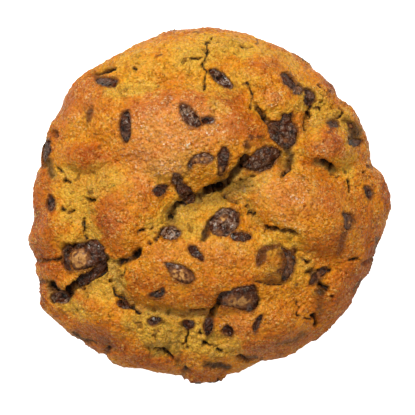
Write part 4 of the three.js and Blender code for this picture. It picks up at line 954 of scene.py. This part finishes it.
class Nodes:
    """Short calls for building a node tree."""

    def __init__(self, tree):
        self.tree = tree

    def feed(self, node, inputs):
        """Sets a node's inputs, by a socket's name or number, to values or to other nodes' outputs."""
        for name, value in inputs.items():
            if isinstance(value, bpy.types.NodeSocket):
                self.tree.links.new(value, node.inputs[name])
            else:
                node.inputs[name].default_value = value

    def add(self, kind, inputs=(), **settings):
        """Adds a node with its settings and inputs."""
        node = self.tree.nodes.new(kind)
        for name, value in settings.items():
            setattr(node, name, value)
        self.feed(node, dict(inputs))
        return node

    def math(self, operation, a, b=0.0, clamp=False):
        return self.add("ShaderNodeMath", {0: a, 1: b}, operation=operation, use_clamp=clamp).outputs[0]

    def plus(self, a, b, clamp=False):
        return self.math("ADD", a, b, clamp)

    def minus(self, a, b, clamp=False):
        return self.math("SUBTRACT", a, b, clamp)

    def times(self, a, b):
        return self.math("MULTIPLY", a, b)

    def spread(self, value, low, high, to_low=0.0, to_high=1.0):
        """The value, brought from one range to another in an S-curve."""
        inputs = {0: value, 1: low, 2: high, 3: to_low, 4: to_high}
        return self.add("ShaderNodeMapRange", inputs, interpolation_type="SMOOTHSTEP").outputs[0]

    def mix(self, share, first, second):
        """The first colour with a share of the second. A colour is an output or its red, green and blue."""
        first, second = [colour(*shade) if isinstance(shade, tuple) else shade for shade in (first, second)]
        return self.add("ShaderNodeMix", {0: share, 6: first, 7: second}, data_type="RGBA").outputs[2]

    def noise(self, place, size_mm, detail=2.0, roughness=0.5, distortion=0.0):
        return self.add("ShaderNodeTexNoise", {
            "Vector": place, "Scale": 1 / (size_mm * MM), "Detail": detail, "Roughness": roughness,
            "Distortion": distortion}).outputs["Fac"]

    def ramp(self, share, stops):
        """A colour ramp. The first two stops take the places of the ramp's own two."""
        node = self.add("ShaderNodeValToRGB", {0: share})
        ramp = node.color_ramp
        for k, (at, shade) in enumerate(stops):
            stop = ramp.elements[k] if k < 2 else ramp.elements.new(at)
            stop.position = at
            stop.color = colour(*shade)
        return node.outputs[0]

    def mottle(self, place, size_mm, stops, detail=4, roughness=0.7, distortion=0.0):
        """Uneven colour: a ramp over a noise."""
        return self.ramp(self.noise(place, size_mm, detail, roughness, distortion), stops)

    def wrinkles(self, place, size_mm, width, share):
        """Thin broken lines: where one noise passes through its middle value, kept only where another is
        high."""
        line = self.math("ABSOLUTE", self.minus(self.noise(place, size_mm, 3, 0.6, 0.8), 0.5))
        kept = self.spread(self.noise(place, size_mm * 1.7, 3, 0.7), share, share + 0.14)
        return self.times(self.spread(line, 0.0, width, 1, 0), kept)

    def shaken(self, place, grain_mm, reach_mm):
        """The place, moved by a colour noise of the given grain, up to half the given reach each way."""
        shake = self.add("ShaderNodeTexNoise", {"Vector": place, "Scale": 1 / (grain_mm * MM), "Detail": 2.0})
        middle = {0: shake.outputs["Color"], 1: (0.5, 0.5, 0.5)}
        shake = self.add("ShaderNodeVectorMath", middle, operation="SUBTRACT").outputs[0]
        reach = {0: shake, "Scale": reach_mm * MM}
        shake = self.add("ShaderNodeVectorMath", reach, operation="SCALE").outputs[0]
        return self.add("ShaderNodeVectorMath", {0: place, 1: shake}, operation="ADD").outputs[0]

    def pebbles(self, place, size_mm):
        """Irregular pebbly cells: how near the middle of its cell a place is, and how near a seam. The
        cells are uneven because noise shakes the places they are measured at."""
        spot = self.shaken(place, 1.4 * size_mm, 1.3 * size_mm)
        inputs = {"Vector": spot, "Scale": 1 / (size_mm * MM)}
        cells = self.add("ShaderNodeTexVoronoi", inputs)
        seams = self.add("ShaderNodeTexVoronoi", inputs, feature="DISTANCE_TO_EDGE")
        rise = self.minus(1.0, cells.outputs["Distance"], clamp=True)
        return rise, self.spread(seams.outputs["Distance"], 0.0, 0.13, 1, 0)

    def granules(self, place, size_mm):
        """Small uneven cells: a random number for each cell, and a low dome on it."""
        spot = self.shaken(place, 0.8 * size_mm, 1.2 * size_mm)
        cells = self.add("ShaderNodeTexVoronoi", {"Vector": spot, "Scale": 1 / (size_mm * MM)})
        chance = self.add("ShaderNodeSeparateColor", {0: cells.outputs["Color"]}).outputs[0]
        return chance, self.spread(cells.outputs["Distance"], 0.1, 0.65, 1, 0)

    def bump(self, height, depth_mm):
        inputs = {"Strength": 1.0, "Distance": depth_mm * MM, "Height": height}
        return self.add("ShaderNodeBump", inputs).outputs[0]

    def attribute(self, name):
        return self.add("ShaderNodeAttribute", attribute_name=name).outputs["Fac"]


def speckle_group():
    """A node group that scatters soft specks and gives their mask. A speck is where the distance to a
    cell's middle, with a fine and a broad noise added, falls below the share asked for."""
    tree = bpy.data.node_groups.new("specks", "ShaderNodeTree")
    tree.interface.new_socket("Vector", in_out="INPUT", socket_type="NodeSocketVector")
    for name, value in (("Specks per metre", 1000.0), ("Share", 0.5), ("Softness", 0.1)):
        tree.interface.new_socket(name, in_out="INPUT", socket_type="NodeSocketFloat").default_value = value
    tree.interface.new_socket("Mask", in_out="OUTPUT", socket_type="NodeSocketFloat")
    make = Nodes(tree)
    given = make.add("NodeGroupInput").outputs
    place, scale = given["Vector"], given["Specks per metre"]
    warp = make.add("ShaderNodeTexNoise", {"Vector": place, "Scale": scale, "Detail": 2.0})
    cells = make.add("ShaderNodeTexVoronoi", {"Vector": place, "Scale": scale})
    chance = make.add("ShaderNodeTexNoise", {"Vector": place, "Scale": make.times(scale, 0.3), "Detail": 3.0})
    score = make.plus(make.times(cells.outputs["Distance"], 0.55), make.times(warp.outputs["Fac"], 0.35))
    score = make.plus(score, make.times(chance.outputs["Fac"], 0.9))
    mask = make.math("DIVIDE", make.minus(given["Share"], score), given["Softness"], clamp=True)
    make.add("NodeGroupOutput", {"Mask": mask})
    return tree


SPECKS = speckle_group()


def specks(make, place, size_mm, share, softness=0.08):
    """The mask of soft specks of about the given size."""
    inputs = {"Vector": place, "Specks per metre": 1 / (size_mm * MM), "Share": share, "Softness": softness}
    return make.add("ShaderNodeGroup", inputs, node_tree=SPECKS).outputs["Mask"]


def new_material(name):
    """A new material with its shader: returns the material, its nodes' maker, the object's own coordinates,
    and the shader."""
    material = bpy.data.materials.new(name)
    material.use_nodes = True
    tree = material.node_tree
    tree.nodes.clear()
    make = Nodes(tree)
    place = make.add("ShaderNodeTexCoord").outputs["Object"]
    shader = make.add("ShaderNodeBsdfPrincipled")
    output = make.add("ShaderNodeOutputMaterial")
    tree.links.new(shader.outputs[0], output.inputs["Surface"])
    return material, make, place, shader


# Colour ramps: a stop's place, and its red, green and blue.
CRUST_TONES = [
    (0.0, (250, 200, 84)), (1.0, (84, 38, 6)), (0.18, (242, 176, 44)), (0.36, (226, 142, 16)),
    (0.55, (206, 112, 8)), (0.74, (178, 84, 6)),
]
CRUMB_TONES = [(0.25, (186, 120, 8)), (0.72, (255, 210, 84))]
PAINTED_GLARE_TONES = [(0.3, (196, 100, 26)), (0.7, (248, 176, 104))]
FURROW_TONES = [(0.3, (112, 80, 24)), (0.7, (222, 190, 112))]
STAIN_TONES = [(0.3, (46, 18, 8)), (0.72, (128, 66, 26))]
PAINTED_SHADE_TONES = [(0.3, (34, 20, 4)), (0.72, (104, 66, 22))]
TOASTED_TONES = [(0.3, (116, 58, 12)), (0.7, (190, 114, 34))]
CHOCOLATE_TONES = [(0.36, (8, 2, 0)), (0.68, (84, 36, 14))]
FILM_TONES = [(0.3, (70, 30, 14)), (0.7, (176, 112, 62))]
THICK_FILM_TONES = [(0.3, (140, 84, 34)), (0.7, (228, 172, 100))]
# The crust's mottling, from broad to fine: size in millimetres, detail, roughness, strength.
CRUST_MOTTLING = ((9, 3, 0.5, 0.45), (2.6, 4, 0.6, 0.5), (0.75, 3, 0.65, 0.36))


def crust_material():
    """Baked crust. The browning sets the colour from light yellow crumb to dark brown, with fine grain, dark
    specks, painted glints and highlights on the grains, a painted pinkish glare on the knobs, chocolate
    stains, and painted shade in the hollows and cracks. Butter makes the crust slightly glossy."""
    material, make, place, shader = new_material("baked_crust")
    crumb, brown, painted_glare, cocoa, painted_hollow_shade, furrow, painted_shade, underside = [
        make.attribute(name)
        for name in ("crumb", "brown", "painted_glare", "cocoa", "painted_hollow_shade", "furrow", "painted_shade", "underside")
    ]

    # browning, open crumb, and the painted pinkish glare on the knobs
    tone = make.plus(make.times(brown, 0.36), 0.36)
    for size, detail, roughness, strength in CRUST_MOTTLING:
        centred = make.minus(make.noise(place, size, detail, roughness), 0.5)
        tone = make.plus(tone, make.times(centred, strength))
    tone = make.minus(tone, make.times(crumb, 0.2), clamp=True)
    base = make.ramp(tone, CRUST_TONES)
    open_crumb = make.mottle(place, 1.2, CRUMB_TONES, 4, 0.75)
    base = make.mix(make.spread(crumb, 0.3, 1.1, 0, 0.75), base, open_crumb)
    base = make.mix(make.times(painted_glare, 0.6), base, make.mottle(place, 0.6, PAINTED_GLARE_TONES, 3, 0.75))

    # painted shade in the seams between pebbles of crust and in the wrinkles
    rise, seams = make.pebbles(place, 1.3)
    wrinkles = make.wrinkles(place, 2.0, 0.022, 0.52)
    seam_share = make.spread(make.noise(place, 5, 3, 0.6), 0.45, 0.7, 0.0, 0.5)
    seam_share = make.math("MAXIMUM", seam_share, make.times(crumb, 0.45))
    base = make.mix(make.times(seams, seam_share), base, make.mix(0.55, base, (128, 58, 6)))
    base = make.mix(make.times(wrinkles, 0.6), base, (104, 46, 6))

    # light and dark grains and grit, the light grains and light grit partly painted highlights that are
    # strongest in the glare, painted glints, and dark specks
    chance, dome = make.granules(place, 0.95)
    coarse = make.spread(make.noise(place, 4, 3, 0.6), 0.38, 0.62, 0.1, 1.2)
    light = make.times(dome, make.spread(coarse, 0.1, 1.2, 0.5, 1.2))
    light = make.times(make.spread(chance, 0.45, 0.95), light)
    light = make.times(light, make.plus(make.times(painted_glare, 0.3), 0.5))
    base = make.mix(light, base, make.mix(painted_glare, (255, 206, 112), (255, 214, 178)))
    dark = make.times(make.spread(chance, 0.42, 0.05), make.spread(dome, 0.0, 0.6))
    dark = make.times(dark, make.spread(crumb, 0.2, 1.0, 1.0, 0.3))
    base = make.mix(make.times(dark, 0.5), base, (184, 80, 4))
    grit = make.noise(place, 0.55, 2, 0.6)
    base = make.mix(make.times(make.spread(grit, 0.5, 0.3, 0, 0.25), coarse), base, (160, 70, 4))
    gritty = make.mix(painted_glare, (255, 204, 108), (255, 218, 166))
    base = make.mix(make.times(make.spread(grit, 0.5, 0.7, 0, 0.42), coarse), base, gritty)
    painted_glints = make.times(specks(make, place, 0.9, 0.72, 0.12), make.plus(make.times(painted_glare, 0.85), 0.06))
    base = make.mix(make.times(painted_glints, coarse), base, (255, 238, 214))
    sprinkled = make.plus(make.times(crumb, -0.1), 0.32)
    base = make.mix(make.times(specks(make, place, 0.75, 0.84), sprinkled), base, (100, 46, 6))

    # furrows, stains of chocolate, painted shade in deep places, cracks and pits, and the toasted underside
    grey = make.mottle(place, 1.3, FURROW_TONES, 4, 0.75)
    base = make.mix(make.times(make.spread(furrow, 0.1, 0.7), 0.7), base, grey)
    base = make.mix(make.spread(cocoa, 0.1, 0.95, 0, 0.94), base, make.mottle(place, 1.1, STAIN_TONES))
    base = make.mix(make.spread(painted_shade, 0.05, 0.75, 0, 0.92), base, make.mottle(place, 1.0, PAINTED_SHADE_TONES))
    # painted shade in the cracks and pits, black where they are deepest
    base = make.mix(make.spread(painted_hollow_shade, 0.15, 0.5, 0, 0.6), base, (96, 46, 8))
    base = make.mix(make.spread(painted_hollow_shade, 0.5, 0.9, 0, 0.92), base, (16, 7, 2))
    base = make.mix(make.times(underside, 0.8), base, make.mottle(place, 3.5, TOASTED_TONES, 5, 0.65))

    gloss = make.spread(make.noise(place, 4, 3), 0.35, 0.7, 0.34, 0.18)
    gloss = make.plus(gloss, make.times(make.math("MAXIMUM", crumb, painted_hollow_shade), 0.2))
    grain = make.times(make.noise(place, 0.6, 2, 0.6), make.spread(coarse, 0.1, 1.2, 0.25, 0.7))
    height = make.plus(grain, make.times(dome, 0.5))
    height = make.plus(height, make.times(rise, make.spread(crumb, 0.2, 1.0, 0.6, 1.1)))
    height = make.minus(height, make.times(wrinkles, 0.4))
    make.feed(shader, {
        "Base Color": base,
        "Roughness": make.plus(gloss, make.times(underside, 0.15), clamp=True),
        "Specular IOR Level": 0.24,
        "Subsurface Weight": 0.3,
        "Subsurface Radius": (0.9, 0.4, 0.08),
        "Subsurface Scale": 0.9 * MM,
        "Normal": make.bump(height, 0.6),
    })
    return material


def chocolate_material():
    """Set chocolate: nearly black, with grey bloom and painted grey highlights in streaks, painted glints,
    glossy between them, and a thin film of dough where the dough still clings to it."""
    material, make, place, shader = new_material("set_chocolate")
    film, bloom_and_highlight = make.attribute("film"), make.attribute("bloom_and_highlight")
    fine = make.noise(place, 0.55, 3, 0.7)
    bloom_and_highlight_streaks = make.times(make.spread(make.noise(place, 1.3, 3, 0.6, 0.8), 0.44, 0.64), bloom_and_highlight)
    base = make.mottle(place, 1.4, CHOCOLATE_TONES, 3, 0.6, 0.6)
    base = make.mix(make.times(bloom_and_highlight_streaks, make.spread(fine, 0.38, 0.56, 0.35, 1.0)), base, (158, 124, 100))
    # painted grey glints on the chocolate
    painted_chip_glints = make.times(specks(make, place, 0.55, 0.82), make.plus(make.times(bloom_and_highlight_streaks, 0.7), 0.1))
    base = make.mix(painted_chip_glints, base, (190, 168, 156))
    base = make.mix(make.spread(film, 0.15, 0.95, 0, 0.85), base, make.mottle(place, 0.8, FILM_TONES))
    base = make.mix(make.spread(film, 0.8, 1.15, 0, 0.9), base, make.mottle(place, 1.0, THICK_FILM_TONES))
    dull = make.spread(make.noise(place, 2.6, 3, 0.55, 0.8), 0.4, 0.75, 0.1, 0.26)
    height = make.plus(make.noise(place, 1.5, 2, 0.5, 0.5), make.times(fine, 0.12))
    make.feed(shader, {
        "Base Color": base,
        "Roughness": make.plus(dull, make.times(film, 0.25), clamp=True),
        "Specular IOR Level": 0.28,
        "Normal": make.bump(height, 0.45),
    })
    return material


def floor_material():
    """A plain pale floor, which shines a little to the camera alone, so that it comes out white."""
    material, make, place, shader = new_material("pale_floor")
    seen = make.add("ShaderNodeLightPath").outputs["Is Camera Ray"]
    make.feed(shader, {
        "Base Color": (0.92, 0.92, 0.92, 1),
        "Roughness": 0.9,
        "Emission Color": (1, 1, 1, 1),
        "Emission Strength": make.times(seen, 1.1),
    })
    return material


# ---- The cookie ----------------------------------------------------------------------------------
def make_cookie():
    """The dough and every chip, each a piece that replaces its CAD node."""
    points, faces, values, chips = bake_dough()
    crust, chocolate = crust_material(), chocolate_material()
    dough = new_piece("dough_crust", points, faces, crust)
    add_values(dough, values)
    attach(dough, "root")
    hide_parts("baked_dough")
    for number, chip in enumerate(chips):
        if "body" in chip:
            points, faces, film = chip["body"]
            bloom_and_highlight = BLOOM_AND_HIGHLIGHT.get(int(chip["name"][-2:]), USUAL_BLOOM_AND_HIGHLIGHT)
        else:
            points, faces = chip_surface(chip, number + 1)
            film = np.zeros(len(points))
            bloom_and_highlight = USUAL_BLOOM_AND_HIGHLIGHT
        piece = new_piece("melted_" + chip["name"], points, faces, chocolate)
        add_values(piece, {"film": film, "bloom_and_highlight": np.full(len(points), bloom_and_highlight)})
        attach(piece, "root")
        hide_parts(chip["name"])


# ---- Floor, lights and camera --------------------------------------------------------------------
VIEW_WIDTH = 109.75     # how much of the table the view spans, at the height of the cookie's waist
VIEW_MIDDLE = (-0.53, -0.66)
CAMERA_HEIGHT = 1500.0
SENSOR = 36.0
FLOOR_HALF = 3.0        # metres
FLOOR_BELOW = 0.0002    # a gap in metres, so that the floor and the base don't share a plane
LIGHT_COLOUR = (1.0, 0.97, 0.86)
LIGHTS = [  # name, place in metres, watts, side in metres
    ("key_light", (-0.12, 0.34, 0.46), 2.74, 0.16),
    ("right_light", (0.62, 0.12, 0.5), 1.4, 0.4),
    ("left_light", (-0.6, -0.1, 0.5), 1.1, 0.4),
    ("near_light", (0.1, -0.62, 0.5), 0.95, 0.4),
]
SKY_COLOUR = (1.0, 0.95, 0.86, 1)
SKY_STRENGTH = 0.16


def make_floor():
    """One square face, just under the cookie."""
    half = FLOOR_HALF
    corners = [(-half, -half, 0), (half, -half, 0), (half, half, 0), (-half, half, 0)]
    mesh = bpy.data.meshes.new("floor")
    mesh.from_pydata(corners, [], [(0, 1, 2, 3)])
    mesh.materials.append(floor_material())
    floor = bpy.data.objects.new("floor", mesh)
    floor.location.z = -FLOOR_BELOW
    bpy.context.scene.collection.objects.link(floor)


def make_light(name, place, power, size):
    """A square soft light, in metres and watts, turned to face the cookie."""
    lamp = bpy.data.lights.new(name, "AREA")
    lamp.energy = power
    lamp.size = size
    lamp.color = LIGHT_COLOUR
    light = bpy.data.objects.new(name, lamp)
    light.location = place
    direction = -light.location.normalized()
    light.rotation_euler = direction.to_track_quat("-Z", "Y").to_euler()
    bpy.context.scene.collection.objects.link(light)


def make_studio():
    """The four soft lights and a faint warm sky."""
    for light in LIGHTS:
        make_light(*light)
    world = bpy.data.worlds.new("studio")
    world.use_nodes = True
    sky = world.node_tree.nodes["Background"]
    sky.inputs["Color"].default_value = SKY_COLOUR
    sky.inputs["Strength"].default_value = SKY_STRENGTH
    bpy.context.scene.world = world
    bpy.context.scene.view_settings.view_transform = "Standard"


def make_camera():
    """A long lens straight above, which spans VIEW_WIDTH at the waist."""
    data = bpy.data.cameras.new("overhead")
    camera = bpy.data.objects.new("overhead", data)
    data.sensor_width = SENSOR
    data.lens = SENSOR * (CAMERA_HEIGHT - WAIST_HEIGHT) / VIEW_WIDTH
    data.clip_end = 10
    camera.location = (VIEW_MIDDLE[0] * MM, VIEW_MIDDLE[1] * MM, CAMERA_HEIGHT * MM)
    bpy.context.scene.collection.objects.link(camera)
    bpy.context.scene.camera = camera


make_cookie()
make_floor()
make_studio()
make_camera()
